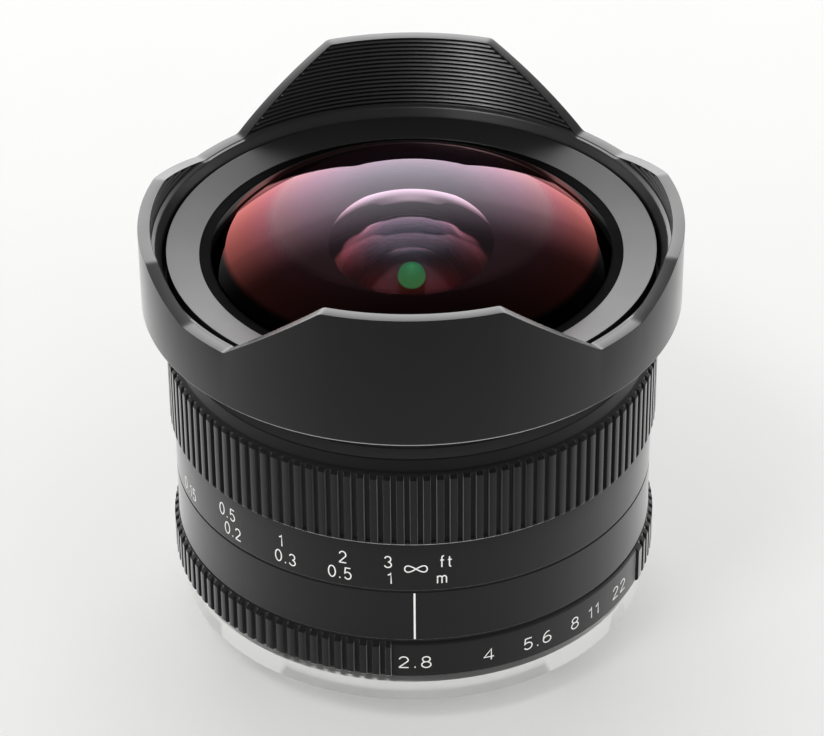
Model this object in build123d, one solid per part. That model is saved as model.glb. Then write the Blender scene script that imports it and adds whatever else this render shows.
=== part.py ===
from build123d import *
import os
from math import asin, atan2, cos, degrees, hypot, radians, sin, sqrt

# A fisheye lens with a petal hood, standing on its bayonet. Millimetres.
# The optical axis is Z, front glass up. The front of the lens, where the index line
# is, faces -Y. Angles called "bearing" are in degrees from -Y towards +X.
# Heights that end in _z are above the rear face of the mount flange, which itself
# stands bayonet_depth above the ground plane. The lens is drawn focused at infinity
# with its iris wide open.

# Clearances and small sizes that every piece shares
overrun = 1.0               # how far a cutting tool passes what it cuts
press_gap = 0.03            # round a piece that is pressed, glued or screwed in
run_gap = 0.05              # between two round surfaces that turn or slide in each other
slide_gap = 0.08            # beside a key or a pin in its slot
cement_gap = 0.02           # glue line between two cemented glasses

# Bayonet and mount flange
bayonet_depth = 4.0
flange_radius = 29.5
flange_top_z = 3.5
flange_bevel = 0.7
throat_radius = 19.0
throat_lip = 0.9
throat_lip_height = 0.6
spigot_radius = 21.6
tab_radius = 22.9
tab_gap = 1.4
tab_thickness = 1.5
tab_count = 3
tab_width_deg = 56.0
lock_notch_radius = 1.1
lock_notch_depth = 1.6
lock_notch_circle = 26.6
lock_notch_bearing = 75.0

# Countersunk screws that hold the flange to the barrel
mount_screw_circle = 25.3
mount_screw_count = 4
mount_screw_bearing = 45.0
mount_screw_radius = 1.0
mount_screw_head = 1.8
mount_screw_depth = 4.0

# Light baffle inside the throat
baffle_thickness = 1.2
baffle_window_x = 25.0
baffle_window_y = 17.5
baffle_corner = 2.0

# Fixed barrel
base_radius = 28.8
base_thickness = 0.5
floor_thickness = 1.2
floor_bore = 12.5
guide_bore = 22.6
wall_radius = 27.0
shoulder_z = 15.5
bearing_radius = 24.9
barrel_top_z = 22.6
barrel_thread_radius = 24.3
nut_ring_height = 1.6
nut_ring_radius = 25.7
nut_ring_notch_width = 2.0
nut_ring_notch_count = 4

# Fixed ring with the index line
index_ring_radius = 29.9
index_ring_bottom_z = 9.66
index_ring_top_z = 16.95
index_screw_circle = 26.1
index_screw_count = 3
index_screw_bearing = 30.0
index_screw_radius = 0.6
index_screw_head = 1.0
index_screw_depth = 2.4

# Guide keys that stop the optics from turning, with their screws
key_count = 3
key_width = 3.0
key_bottom_z = 10.8
key_height = 4.0
key_inner_radius = 21.3
key_outer_radius = 24.3
key_slot_above = 1.6
key_slot_floor = 21.2
key_screw_radius = 0.7
key_screw_head = 1.3
key_screw_head_height = 0.9
key_screw_bite = 1.6

# Aperture ring and the lever that carries its turn to the iris
aperture_ring_radius = 30.5
aperture_ring_bottom_z = 4.22
aperture_ring_top_z = 9.4
aperture_chamfer_height = 0.55
aperture_chamfer_width = 0.6
aperture_foot_chamfer = 0.25
aperture_turn_deg = 60.0
scale_from_bearing = -5.5
scale_to_bearing = 67.5
scale_face_radius = 30.1
lever_bearing = 210.0
lever_width = 4.0
lever_foot_bottom_z = 5.6
lever_foot_height = 1.8
lever_foot_outer_radius = 28.4
lever_inner_radius = 18.9
lever_outer_radius = 20.3
lever_top_z = 24.8
lever_slot_depth = 4.6
lever_screw_radius = 0.6
lever_screw_bite = 1.2
lever_travel_spare_deg = 0.6

# Grip ribs, milled in both turning rings
rib_count = 120
groove_width = 0.72
groove_depth = 0.5

# Focus ring
focus_ring_bottom_z = 17.2
focus_ring_top_z = 36.04
focus_band_radius = 29.9
grip_radius = 30.42
grip_bottom_z = 24.24
grip_top_z = 33.9
grip_bottom_chamfer = 0.3
grip_top_chamfer = 0.32
top_band_radius = 29.4
top_edge_radius = 29.1
top_cone_height = 0.5
groove_end_land = 0.25
focus_turn_deg = 90.0
focus_ring_lip = 1.2
grip_screw_count = 3
grip_screw_bearing = 60.0
grip_screw_z = 30.1
grip_screw_radius = 0.85
grip_screw_length = 1.7
grip_screw_sink = 0.75
socket_share = 0.5
socket_depth = 0.8
socket_sides = 6

# Helicoid: a left-hand thread of several starts
lead = 2.4
starts = 2
thread_core_radius = 25.7
thread_height = 0.6
thread_gap = 0.1
thread_root_width = 0.5
thread_crest_width = 0.3
thread_root_overlap = 0.1
thread_bottom_z = 24.6
thread_length = 8.4
nut_radius = 27.9
nut_flange_height = 3.75
nut_top_z = 35.4
stop_pin_circle = 26.8
stop_pin_radius = 0.6
stop_pin_bearing = 180.0
stop_pin_bite = 1.0
stop_pin_rise = 1.0
stop_spare_deg = 0.4

# Helicoid sleeve
sleeve_bottom_z = 10.0
sleeve_radius = 22.5
sleeve_bore = 20.6
sleeve_step_z = 23.2
sleeve_top_z = 36.4
web_bottom_z = 26.0
web_thickness = 2.0
web_bore = 12.5

# Front barrel: the neck under the hood and the seat of the front glass
neck_radius = 27.5
neck_bore = 17.4
glass_seat_z = 41.8
hood_bottom_z = 40.74
hood_seat_radius = 26.75
front_wall_bore = 25.1
front_wall_top_z = 46.1
neck_screw_circle = 22.9
neck_screw_count = 4
neck_screw_bearing = 45.0
neck_screw_radius = 0.8
neck_screw_head = 1.5
neck_screw_head_height = 1.1
neck_screw_sink = 1.5
neck_screw_bite = 3.0

# Petal hood
hood_radius = 33.2
hood_plate = 2.0
hood_edge_chamfer = 0.35
hood_rim_width = 1.54
hood_lower_bore = 30.4
ledge_radius = 31.2
ledge_bottom_z = 47.2
ledge_top_z = 48.0
groove_zone_bottom_z = 48.25
tip_z = 58.27
valley_z = 48.46
side_petal_z = 51.2
tip_half_deg = 18.4
valley_half_deg = 41.6
side_foot_deg = 54.5
side_crest_deg = 73.0
petal_slope_pieces = 5
light_groove_pitch = 0.58
light_groove_depth = 0.22

# Name ring, which clamps the hood, and the bezel that holds the front glass
name_ring_radius = 29.89
name_ring_outer_z = 47.65
name_ring_inner_z = 46.93
name_ring_bore = 25.84
name_ring_lip = 0.7
bezel_lip = 0.25
bezel_chamfer = 0.12
bezel_foot_gap = 0.3         # under the bezel's sleeve, so that its lip clamps the glass

# Glass. Each surface is (vertex height, radius, clear radius); a positive radius bulges
# to the front.
front_glass_edge = 24.7
front_glass_front = (55.56, 39.7, 24.7)
front_glass_shoulder_radius = 24.4
front_glass_shoulder_z = 46.6
front_glass_back_radius = 15.75
front_glass_back_clear = 8.3
second_glass_edge = 13.6
second_glass_front = (42.8, 26.0, 12.4)
second_glass_back_radius = 7.2
second_glass_back_clear = 6.9
cell_shelf_z = 35.6
middle_glass_edge = 9.0
third_glass_front_radius = -30.0
third_glass_front_clear = 7.4
third_glass_back_radius = 24.0
third_glass_back_clear = 8.0
third_glass_rim_z = 35.2
third_glass_foot_z = 31.9
fourth_glass_front_radius = 16.0
fourth_glass_front_clear = 8.4
fourth_glass_back_radius = -14.0
fourth_glass_back_clear = 8.2
fourth_glass_rim_z = 29.5
fourth_glass_foot_z = 25.9

# Front cell, which carries the second to fourth glasses
cell_radius = 17.2
cell_top_z = 40.6
cell_spigot_bottom_z = 24.7
cell_lip_bore = 8.2
cell_screw_circle = 14.8
cell_screw_count = 3
cell_screw_bearing = 60.0
cell_screw_radius = 0.7
cell_screw_head = 1.2
cell_screw_bite = 2.5
cell_ring_bore = 12.5
spacer_wall = 0.6

# Iris: base cup, turning cam ring, cover, and curved blades at stepped levels
cup_bottom_z = 20.5
cup_floor = 0.8
cup_radius = 18.6
cup_bore = 15.45
stop_opening = 4.5
blade_count = 6
blade_edge_radius = 4.4
blade_outer_radius = 8.6
blade_from_deg = -8.0
blade_to_deg = 112.0
blade_thickness = 0.08
blade_step = 0.15
blade_first_lift = 0.1
smallest_stop = 0.55
pivot_circle = 10.5
pivot_pin_radius = 0.4
pivot_ear_radius = 0.95
pivot_bite = 0.6
tail_length = 3.5
tail_width = 1.1
tail_ear_radius = 0.7
drive_pin_radius = 0.35
drive_pin_rise = 0.7
cam_bottom_z = 22.5
cam_thickness = 1.0
cam_bore = 9.3
cam_arm_width = 1.6
cam_arm_reach = 20.0
cam_path_points = 13
iris_cover_gap = 0.1
iris_cover_thickness = 1.2
window_spare_deg = 2.0
stack_screw_circle = 17.0
stack_screw_count = 3
stack_screw_radius = 0.7
stack_screw_head = 1.3
stack_screw_head_height = 1.0
stack_screw_bite = 1.6

# Rear cell with the fifth to eleventh glasses
rear_cell_radius = 11.0
rear_cell_bottom_z = -1.0
rear_flange_thickness = 1.2
rear_glass_edge = 7.0
rear_glass_clear = 6.4
last_glass_edge = 8.5
last_glass_clear = 7.9
fifth_glass_rim_z = 19.3
fifth_glass_foot_z = 17.9
fifth_glass_radius = 24.0
sixth_glass_rim_z = 16.1
sixth_glass_radius = 45.0
first_cement_vertex_z = 13.3
first_cement_radius = -11.0
seventh_glass_foot_z = 11.6
seventh_glass_radius = 32.0
eighth_glass_rim_z = 10.4
eighth_glass_radius = 20.0
second_cement_vertex_z = 7.6
second_cement_radius = -13.0
ninth_glass_foot_z = 6.9
ninth_glass_radius = -60.0
rear_shelf_z = 6.0
tenth_glass_front_radius = -80.0
tenth_glass_back_radius = -24.0
tenth_glass_foot_z = 4.4
eleventh_glass_rim_z = 1.9
eleventh_glass_front_radius = 40.0
eleventh_glass_back_radius = -60.0
eleventh_glass_foot_z = 0.3
rear_ring_height = 1.2


def up(z):
    """Height above the ground plane of a height above the flange's rear face."""
    return z + bayonet_depth


def turned(points):
    """A solid turned about Z from (radius, height above the flange face) corners."""
    outline = Polyline(*[(r, 0, up(z)) for r, z in points], close=True)
    return revolve(make_face(outline), Axis.Z)


def ring(inner, outer, bottom_z, top_z):
    """A plain ring or, with no inner radius, a disc."""
    return turned([(inner, bottom_z), (outer, bottom_z), (outer, top_z), (inner, top_z)])


def on_bearing(shape, bearing):
    """A shape drawn on the front of the lens, turned to its bearing."""
    return Rot(0, 0, bearing) * shape


def bearings(count, first=0.0):
    return [first + 360.0 * i / count for i in range(count)]


def upright_rod(radius, circle, bottom_z, top_z, bearing):
    """A cylinder along Z whose axis is on a circle round the optical axis."""
    rod = Cylinder(radius, top_z - bottom_z, align=(Align.CENTER, Align.CENTER, Align.MIN))
    return on_bearing(Pos(0, -circle, up(bottom_z)) * rod, bearing)


def radial_rod(radius, inner, outer, z, bearing):
    """A cylinder along a radius of the lens."""
    rod = Cylinder(radius, outer - inner, align=(Align.CENTER, Align.CENTER, Align.MIN))
    return on_bearing(Pos(0, -inner, up(z)) * Rot(90, 0, 0) * rod, bearing)


def radial_block(width, inner, outer, bottom_z, top_z, bearing):
    """A box along a radius of the lens."""
    size = (width, outer - inner, top_z - bottom_z)
    block = Box(*size, align=(Align.CENTER, Align.MAX, Align.MIN))
    return on_bearing(Pos(0, -inner, up(bottom_z)) * block, bearing)


def wedge(inner, outer, bottom_z, top_z, from_bearing, to_bearing):
    """Part of a ring between two bearings."""
    outline = Polyline((inner, 0, up(bottom_z)), (outer, 0, up(bottom_z)),
                       (outer, 0, up(top_z)), (inner, 0, up(top_z)), close=True)
    body = revolve(make_face(outline), Axis.Z, to_bearing - from_bearing)
    return Rot(0, 0, from_bearing - 90) * body


def countersunk_head(radius, head, circle, top_z, bearing, flip=False):
    """A cone whose wide end is at top_z, or whose wide end looks down when flipped."""
    depth = head - radius
    bottom, top = (head, radius) if flip else (radius, head)
    cone = Cone(bottom, top, depth, align=(Align.CENTER, Align.CENTER, Align.MIN))
    z = top_z if flip else top_z - depth
    return on_bearing(Pos(0, -circle, up(z)) * cone, bearing)


def surface_z(vertex, radius, r):
    """Height of a spherical surface at distance r from the axis."""
    return vertex - radius * (1 - sqrt(1 - (r / radius) ** 2))


def vertex_z(rim, radius, r):
    """Height of the vertex of a spherical surface that has height rim at distance r."""
    return rim + radius * (1 - sqrt(1 - (r / radius) ** 2))


def glass(edge, front, back):
    """A lens element between two spherical surfaces with a flat rim outside them."""
    def curve(surface):
        vertex, radius, clear = surface
        middle = clear / 2
        return ThreePointArc((0, 0, up(vertex)),
                             (middle, 0, up(surface_z(vertex, radius, middle))),
                             (clear, 0, up(surface_z(vertex, radius, clear))))
    top, bottom = curve(front), curve(back)
    rim = [top @ 1]
    if edge > front[2]:
        rim.append(Vector(edge, 0, (top @ 1).Z))
    if edge > back[2]:
        rim.append(Vector(edge, 0, (bottom @ 1).Z))
    rim.append(bottom @ 1)
    outline = Curve() + [top, Polyline(*rim), bottom, Line(bottom @ 0, top @ 0)]
    return revolve(make_face(outline), Axis.Z)


def save(name, *solids):
    """Write one piece, or one group of alike pieces, to its own file."""
    shape = solids[0] if len(solids) == 1 else Compound(children=list(solids))
    export_step(shape, f"parts/{name}.step")


# Fixed body: mount, barrel and index ring

def mount_flange():
    spigot_end = -bayonet_depth
    plate = turned([(throat_radius, 0), (flange_radius, 0),
                    (flange_radius, flange_top_z - flange_bevel),
                    (flange_radius - flange_bevel, flange_top_z), (throat_radius, flange_top_z)])
    tube = ring(throat_radius, spigot_radius, spigot_end, 0)
    lip = ring(throat_radius - throat_lip, throat_radius, spigot_end, spigot_end + throat_lip_height)
    tabs = [wedge(throat_radius + throat_lip, tab_radius, -tab_gap - tab_thickness, -tab_gap,
                  b - tab_width_deg / 2, b + tab_width_deg / 2) for b in bearings(tab_count)]
    body = plate + tube + lip + tabs
    tools = [upright_rod(lock_notch_radius, lock_notch_circle, -overrun, lock_notch_depth,
                         lock_notch_bearing)]
    for b in bearings(mount_screw_count, mount_screw_bearing):
        tools.append(upright_rod(mount_screw_radius + press_gap, mount_screw_circle,
                                 0, flange_top_z + overrun, b))
        tools.append(countersunk_head(mount_screw_radius + press_gap, mount_screw_head + press_gap,
                                      mount_screw_circle, 0, b, flip=True))
    return body - tools


def mount_screw(bearing):
    shank = upright_rod(mount_screw_radius, mount_screw_circle, 0,
                        flange_top_z + mount_screw_depth, bearing)
    head = countersunk_head(mount_screw_radius, mount_screw_head, mount_screw_circle, 0,
                            bearing, flip=True)
    slot = Box(mount_screw_head * 2, mount_screw_radius * socket_share, socket_depth)
    return shank + head - on_bearing(Pos(0, -mount_screw_circle, up(0)) * slot, bearing)


def rear_baffle():
    bottom = -bayonet_depth + throat_lip_height
    disc = ring(0, throat_radius - press_gap, bottom, bottom + baffle_thickness)
    window = extrude(RectangleRounded(baffle_window_x, baffle_window_y, baffle_corner),
                     amount=bayonet_depth * 2)
    return disc - window


def lever_sweep(half_width_deg, spare_deg):
    """First and last bearing that the lever's room has to span."""
    return (lever_bearing - aperture_turn_deg - half_width_deg - spare_deg,
            lever_bearing + half_width_deg + spare_deg)


def main_barrel():
    floor_top = flange_top_z + floor_thickness
    body = turned([(floor_bore, flange_top_z), (base_radius, flange_top_z),
                   (base_radius, flange_top_z + base_thickness),
                   (wall_radius, flange_top_z + base_thickness), (wall_radius, shoulder_z),
                   (bearing_radius, shoulder_z),
                   (bearing_radius, barrel_top_z - nut_ring_height),
                   (barrel_thread_radius, barrel_top_z - nut_ring_height),
                   (barrel_thread_radius, barrel_top_z), (guide_bore, barrel_top_z),
                   (guide_bore, floor_top), (floor_bore, floor_top)])
    half = degrees(asin(lever_width / 2 / guide_bore))
    tools = [wedge(floor_bore + overrun, wall_radius + overrun,
                   lever_foot_bottom_z - slide_gap, lever_foot_bottom_z + lever_foot_height + slide_gap,
                   *lever_sweep(half, lever_travel_spare_deg))]
    for b in bearings(mount_screw_count, mount_screw_bearing):
        tools.append(upright_rod(mount_screw_radius + press_gap, mount_screw_circle,
                                 flange_top_z - overrun,
                                 flange_top_z + mount_screw_depth + press_gap, b))
    for b in bearings(index_screw_count, index_screw_bearing):
        tools.append(upright_rod(index_screw_radius + press_gap, index_screw_circle,
                                 shoulder_z - index_screw_depth - press_gap, shoulder_z + overrun, b))
    for b in bearings(key_count):
        tools.append(radial_block(key_width + press_gap * 2, guide_bore - overrun,
                                  key_outer_radius + press_gap, key_bottom_z - press_gap,
                                  key_bottom_z + key_height + press_gap, b))
        tools.append(radial_rod(key_screw_radius + press_gap, guide_bore, wall_radius + overrun,
                                key_bottom_z + key_height / 2, b))
        tools.append(radial_rod(key_screw_head + press_gap, wall_radius - key_screw_head_height - slide_gap,
                                wall_radius + overrun, key_bottom_z + key_height / 2, b))
    return body - tools


def guide_key(bearing):
    middle = key_bottom_z + key_height / 2
    block = radial_block(key_width, key_inner_radius, key_outer_radius, key_bottom_z,
                         key_bottom_z + key_height, bearing)
    return block - radial_rod(key_screw_radius + press_gap, key_outer_radius - key_screw_bite,
                              key_outer_radius + overrun, middle, bearing)


def key_screw(bearing):
    middle = key_bottom_z + key_height / 2
    head_inner = wall_radius - key_screw_head_height - slide_gap + press_gap
    shank = radial_rod(key_screw_radius, key_outer_radius - key_screw_bite + press_gap,
                       head_inner, middle, bearing)
    head = radial_rod(key_screw_head, head_inner, wall_radius - slide_gap, middle, bearing)
    slot = radial_block(key_screw_head * 2, wall_radius - slide_gap - key_screw_head_height / 2,
                        wall_radius, middle - key_screw_radius * socket_share / 2,
                        middle + key_screw_radius * socket_share / 2, bearing)
    return shank + head - slot


def index_ring():
    bore = wall_radius + press_gap
    body = turned([(bore, index_ring_bottom_z), (index_ring_radius, index_ring_bottom_z),
                   (index_ring_radius, index_ring_top_z), (bearing_radius + press_gap, index_ring_top_z),
                   (bearing_radius + press_gap, shoulder_z), (bore, shoulder_z)])
    tools = [upright_rod(stop_pin_radius + press_gap, stop_pin_circle,
                         index_ring_top_z - stop_pin_bite, index_ring_top_z + overrun, stop_pin_bearing)]
    for b in bearings(index_screw_count, index_screw_bearing):
        tools.append(upright_rod(index_screw_radius + press_gap, index_screw_circle,
                                 shoulder_z - overrun, index_ring_top_z + overrun, b))
        tools.append(countersunk_head(index_screw_radius + press_gap, index_screw_head + press_gap,
                                      index_screw_circle, index_ring_top_z, b))
    return body - tools


def index_screw(bearing):
    shank = upright_rod(index_screw_radius, index_screw_circle, shoulder_z - index_screw_depth,
                        index_ring_top_z, bearing)
    head = countersunk_head(index_screw_radius, index_screw_head, index_screw_circle,
                            index_ring_top_z, bearing)
    slot = Box(index_screw_head * 2, index_screw_radius * socket_share, index_screw_radius)
    return shank + head - on_bearing(Pos(0, -index_screw_circle, up(index_ring_top_z)) * slot, bearing)


def stop_pin():
    return upright_rod(stop_pin_radius, stop_pin_circle, index_ring_top_z - stop_pin_bite,
                       focus_ring_bottom_z + stop_pin_rise, stop_pin_bearing)


def nut_retaining_ring():
    body = ring(barrel_thread_radius + press_gap, nut_ring_radius,
                barrel_top_z - nut_ring_height, barrel_top_z)
    notches = [radial_block(nut_ring_notch_width, barrel_thread_radius, nut_ring_radius + overrun,
                            barrel_top_z - nut_ring_height / 2, barrel_top_z + overrun, b)
               for b in bearings(nut_ring_notch_count)]
    return body - notches


# Turning rings

def grip_groove(radius, bottom_z, top_z, bearing):
    """One milled groove with round ends, running along Z."""
    outline = SlotOverall(top_z - bottom_z, groove_width, rotation=90)
    tool = extrude(outline, amount=groove_depth + overrun)
    middle = (bottom_z + top_z) / 2
    place = Plane(origin=(0, -(radius - groove_depth), up(middle)), x_dir=(1, 0, 0), z_dir=(0, -1, 0))
    return on_bearing(place * tool, bearing)


def aperture_ring():
    bore = wall_radius + run_gap
    outer = aperture_ring_radius
    body = turned([(bore, aperture_ring_bottom_z),
                   (outer - aperture_foot_chamfer, aperture_ring_bottom_z),
                   (outer, aperture_ring_bottom_z + aperture_foot_chamfer),
                   (outer, aperture_ring_top_z - aperture_chamfer_height),
                   (outer - aperture_chamfer_width, aperture_ring_top_z), (bore, aperture_ring_top_z)])
    scale = wedge(scale_face_radius, outer + overrun, aperture_ring_bottom_z - overrun,
                  aperture_ring_top_z + overrun, scale_from_bearing, scale_to_bearing)
    pitch = 360.0 / rib_count
    grooves = [radial_block(groove_width, outer - groove_depth, outer + overrun,
                            aperture_ring_bottom_z - overrun, aperture_ring_top_z + overrun, b)
               for b in bearings(rib_count, pitch / 2)
               if b - 360 < scale_from_bearing - pitch / 2 and b > scale_to_bearing + pitch / 2]
    middle = lever_foot_bottom_z + lever_foot_height / 2
    pocket = radial_block(lever_width + press_gap * 2, bore - overrun, lever_foot_outer_radius + press_gap,
                          lever_foot_bottom_z - press_gap,
                          lever_foot_bottom_z + lever_foot_height + press_gap, lever_bearing)
    hole = radial_rod(lever_screw_radius + press_gap, bore, outer + overrun, middle, lever_bearing)
    return body - scale - grooves - [pocket, hole]


def aperture_lever():
    """Foot through the barrel wall, with a forked bar that reaches up to the iris."""
    foot = radial_block(lever_width, lever_inner_radius, lever_foot_outer_radius,
                        lever_foot_bottom_z, lever_foot_bottom_z + lever_foot_height, lever_bearing)
    bar = radial_block(lever_width, lever_inner_radius, lever_outer_radius,
                       lever_foot_bottom_z, lever_top_z, lever_bearing)
    fork = radial_block(cam_arm_width + slide_gap * 2, lever_inner_radius - overrun,
                        lever_outer_radius + overrun, lever_top_z - lever_slot_depth,
                        lever_top_z + overrun, lever_bearing)
    middle = lever_foot_bottom_z + lever_foot_height / 2
    hole = radial_rod(lever_screw_radius + press_gap, lever_foot_outer_radius - lever_screw_bite,
                      lever_foot_outer_radius + overrun, middle, lever_bearing)
    return foot + bar - [fork, hole]


def lever_screw():
    middle = lever_foot_bottom_z + lever_foot_height / 2
    face = aperture_ring_radius - groove_depth - slide_gap
    rod = radial_rod(lever_screw_radius, lever_foot_outer_radius - lever_screw_bite + press_gap,
                     face, middle, lever_bearing)
    socket = radial_rod(lever_screw_radius * socket_share, face - socket_depth, face + overrun,
                        middle, lever_bearing)
    return rod - socket


def focus_grip_ring():
    bore = nut_radius + press_gap
    body = turned([(bore, focus_ring_bottom_z), (focus_band_radius, focus_ring_bottom_z),
                   (focus_band_radius, grip_bottom_z),
                   (grip_radius - grip_bottom_chamfer, grip_bottom_z),
                   (grip_radius, grip_bottom_z + grip_bottom_chamfer),
                   (grip_radius, grip_top_z),
                   (grip_radius - grip_top_chamfer, grip_top_z + grip_top_chamfer),
                   (top_band_radius, grip_top_z + top_cone_height),
                   (top_edge_radius, focus_ring_top_z), (bore - focus_ring_lip, focus_ring_top_z),
                   (bore - focus_ring_lip, nut_top_z), (bore, nut_top_z)])
    pitch = 360.0 / rib_count
    grooves = [grip_groove(grip_radius, grip_bottom_z + groove_end_land, grip_top_z + top_cone_height, b)
               for b in bearings(rib_count, pitch / 2)]
    holes = [radial_rod(grip_screw_radius + press_gap, bore - overrun, grip_radius + overrun,
                        grip_screw_z, b) for b in bearings(grip_screw_count, grip_screw_bearing)]
    return body - grooves - holes


def grip_screw(bearing):
    face = grip_radius - grip_screw_sink
    rod = radial_rod(grip_screw_radius, face - grip_screw_length, face, grip_screw_z, bearing)
    hexagon = extrude(RegularPolygon(grip_screw_radius * socket_share, socket_sides),
                      amount=socket_depth + overrun)
    place = Plane(origin=(0, -(face - socket_depth), up(grip_screw_z)), x_dir=(1, 0, 0), z_dir=(0, -1, 0))
    return rod - on_bearing(place * hexagon, bearing)


def thread_ridge(root_radius, crest_radius, start_deg):
    """One left-hand ridge of the helicoid, its root sunk a little into what carries it."""
    path = Helix(lead, thread_length, root_radius, center=(0, 0, up(thread_bottom_z)), lefthand=True)
    sunk = thread_root_overlap if crest_radius < root_radius else -thread_root_overlap
    rise = crest_radius - root_radius
    profile = Polyline((sunk, -thread_root_width / 2), (rise, -thread_crest_width / 2),
                       (rise, thread_crest_width / 2), (sunk, thread_root_width / 2), close=True)
    place = Plane(origin=path @ 0, x_dir=(1, 0, 0), z_dir=path % 0)
    return Rot(0, 0, start_deg) * sweep(make_face(place * profile), path=path, is_frenet=True)


def helicoid_nut():
    root = thread_core_radius + thread_height + thread_gap
    flange_top = focus_ring_bottom_z + nut_flange_height
    body = turned([(bearing_radius + run_gap, focus_ring_bottom_z), (nut_radius, focus_ring_bottom_z),
                   (nut_radius, nut_top_z), (root, nut_top_z), (root, flange_top),
                   (bearing_radius + run_gap, flange_top)])
    half_width = stop_pin_radius + slide_gap
    pin_half = degrees(asin(half_width / stop_pin_circle))
    groove = wedge(stop_pin_circle - half_width, stop_pin_circle + half_width,
                   focus_ring_bottom_z - overrun, focus_ring_bottom_z + stop_pin_rise + slide_gap,
                   stop_pin_bearing - focus_turn_deg - pin_half - stop_spare_deg,
                   stop_pin_bearing + pin_half + stop_spare_deg)
    crest = thread_core_radius + thread_gap
    ridges = [thread_ridge(root, crest, a + 180.0 / starts) for a in bearings(starts)]
    return body - groove + ridges


def helicoid_sleeve():
    web_top = web_bottom_z + web_thickness
    body = turned([(sleeve_bore, sleeve_bottom_z), (sleeve_radius, sleeve_bottom_z),
                   (sleeve_radius, sleeve_step_z), (thread_core_radius, sleeve_step_z),
                   (thread_core_radius, sleeve_top_z), (sleeve_bore, sleeve_top_z),
                   (sleeve_bore, web_top), (web_bore, web_top), (web_bore, web_bottom_z),
                   (sleeve_bore, web_bottom_z)])
    tools = [radial_block(key_width + slide_gap * 2, key_slot_floor, sleeve_radius + overrun,
                          sleeve_bottom_z - overrun, key_bottom_z + key_height + key_slot_above, b)
             for b in bearings(key_count)]
    for b in bearings(cell_screw_count, cell_screw_bearing):
        tools.append(upright_rod(cell_screw_radius + press_gap, cell_screw_circle,
                                 web_bottom_z - overrun, web_top + overrun, b))
        tools.append(countersunk_head(cell_screw_radius + press_gap, cell_screw_head + press_gap,
                                      cell_screw_circle, web_bottom_z, b, flip=True))
    for b in bearings(stack_screw_count):
        tools.append(upright_rod(stack_screw_radius + press_gap, stack_screw_circle,
                                 web_bottom_z - overrun, web_bottom_z + stack_screw_bite + press_gap, b))
    for b in bearings(neck_screw_count, neck_screw_bearing):
        tools.append(upright_rod(neck_screw_radius + press_gap, neck_screw_circle,
                                 sleeve_top_z - neck_screw_bite - press_gap, sleeve_top_z + overrun, b))
    ridges = [thread_ridge(thread_core_radius, thread_core_radius + thread_height, a)
              for a in bearings(starts)]
    return body - tools + ridges


# Front of the optical unit

def front_barrel():
    body = turned([(neck_bore, sleeve_top_z), (neck_radius, sleeve_top_z), (neck_radius, hood_bottom_z),
                   (hood_seat_radius, hood_bottom_z), (hood_seat_radius, front_wall_top_z),
                   (front_wall_bore, front_wall_top_z), (front_wall_bore, glass_seat_z),
                   (neck_bore, glass_seat_z)])
    tools = []
    for b in bearings(neck_screw_count, neck_screw_bearing):
        tools.append(upright_rod(neck_screw_radius + press_gap, neck_screw_circle,
                                 sleeve_top_z - overrun, glass_seat_z, b))
        tools.append(upright_rod(neck_screw_head + press_gap, neck_screw_circle,
                                 glass_seat_z - neck_screw_sink - neck_screw_head_height,
                                 glass_seat_z + overrun, b))
    return body - tools


def neck_screw(bearing):
    seat = glass_seat_z - neck_screw_sink - neck_screw_head_height
    shank = upright_rod(neck_screw_radius, neck_screw_circle, sleeve_top_z - neck_screw_bite, seat, bearing)
    head = upright_rod(neck_screw_head, neck_screw_circle, seat, seat + neck_screw_head_height, bearing)
    socket = extrude(RegularPolygon(neck_screw_radius, socket_sides), amount=socket_depth + overrun)
    place = Pos(0, -neck_screw_circle, up(seat + neck_screw_head_height - socket_depth))
    return shank + head - on_bearing(place * socket, bearing)


def rim_heights():
    """Bearing and height of the hood's rim at its corners, from the front petal to a side one."""
    return [(tip_half_deg, tip_z), (valley_half_deg, valley_z), (side_foot_deg, valley_z),
            (side_crest_deg, side_petal_z), (90.0, side_petal_z)]


def rim_z(bearing):
    """Height of the hood's rim at a bearing; the rim is alike in all four quarters."""
    folded = abs((bearing + 90) % 180 - 90)
    corners = [(0.0, tip_z)] + rim_heights()
    for (b0, z0), (b1, z1) in zip(corners, corners[1:]):
        if folded <= b1:
            return z0 + (z1 - z0) * (folded - b0) / (b1 - b0)
    return side_petal_z


def petal_cutter():
    """What is milled away between the front petal's corner and the rear one's, on one side."""
    step_deg = (valley_half_deg - tip_half_deg) / petal_slope_pieces
    stops = [tip_half_deg]
    for (b0, _), (b1, _) in zip(rim_heights(), rim_heights()[1:]):
        pieces = max(1, round((b1 - b0) / step_deg))
        stops += [b0 + (b1 - b0) * (i + 1) / pieces for i in range(pieces)]
    stops += [180 - b for b in reversed(stops[:-1])]
    inner, outer = hood_lower_bore - overrun, hood_radius + overrun * 2
    top = tip_z + overrun
    sections = []
    for b in stops:
        frame = Plane(origin=(0, 0, 0), x_dir=(sin(radians(b)), -cos(radians(b)), 0),
                      z_dir=(-cos(radians(b)), -sin(radians(b)), 0))
        bottom = up(rim_z(b))
        corners = [(inner, bottom), (outer, bottom), (outer, up(top)), (inner, up(top))]
        sections.append(make_face(frame * Polyline(*corners, close=True)))
    return loft(sections, ruled=True)


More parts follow.
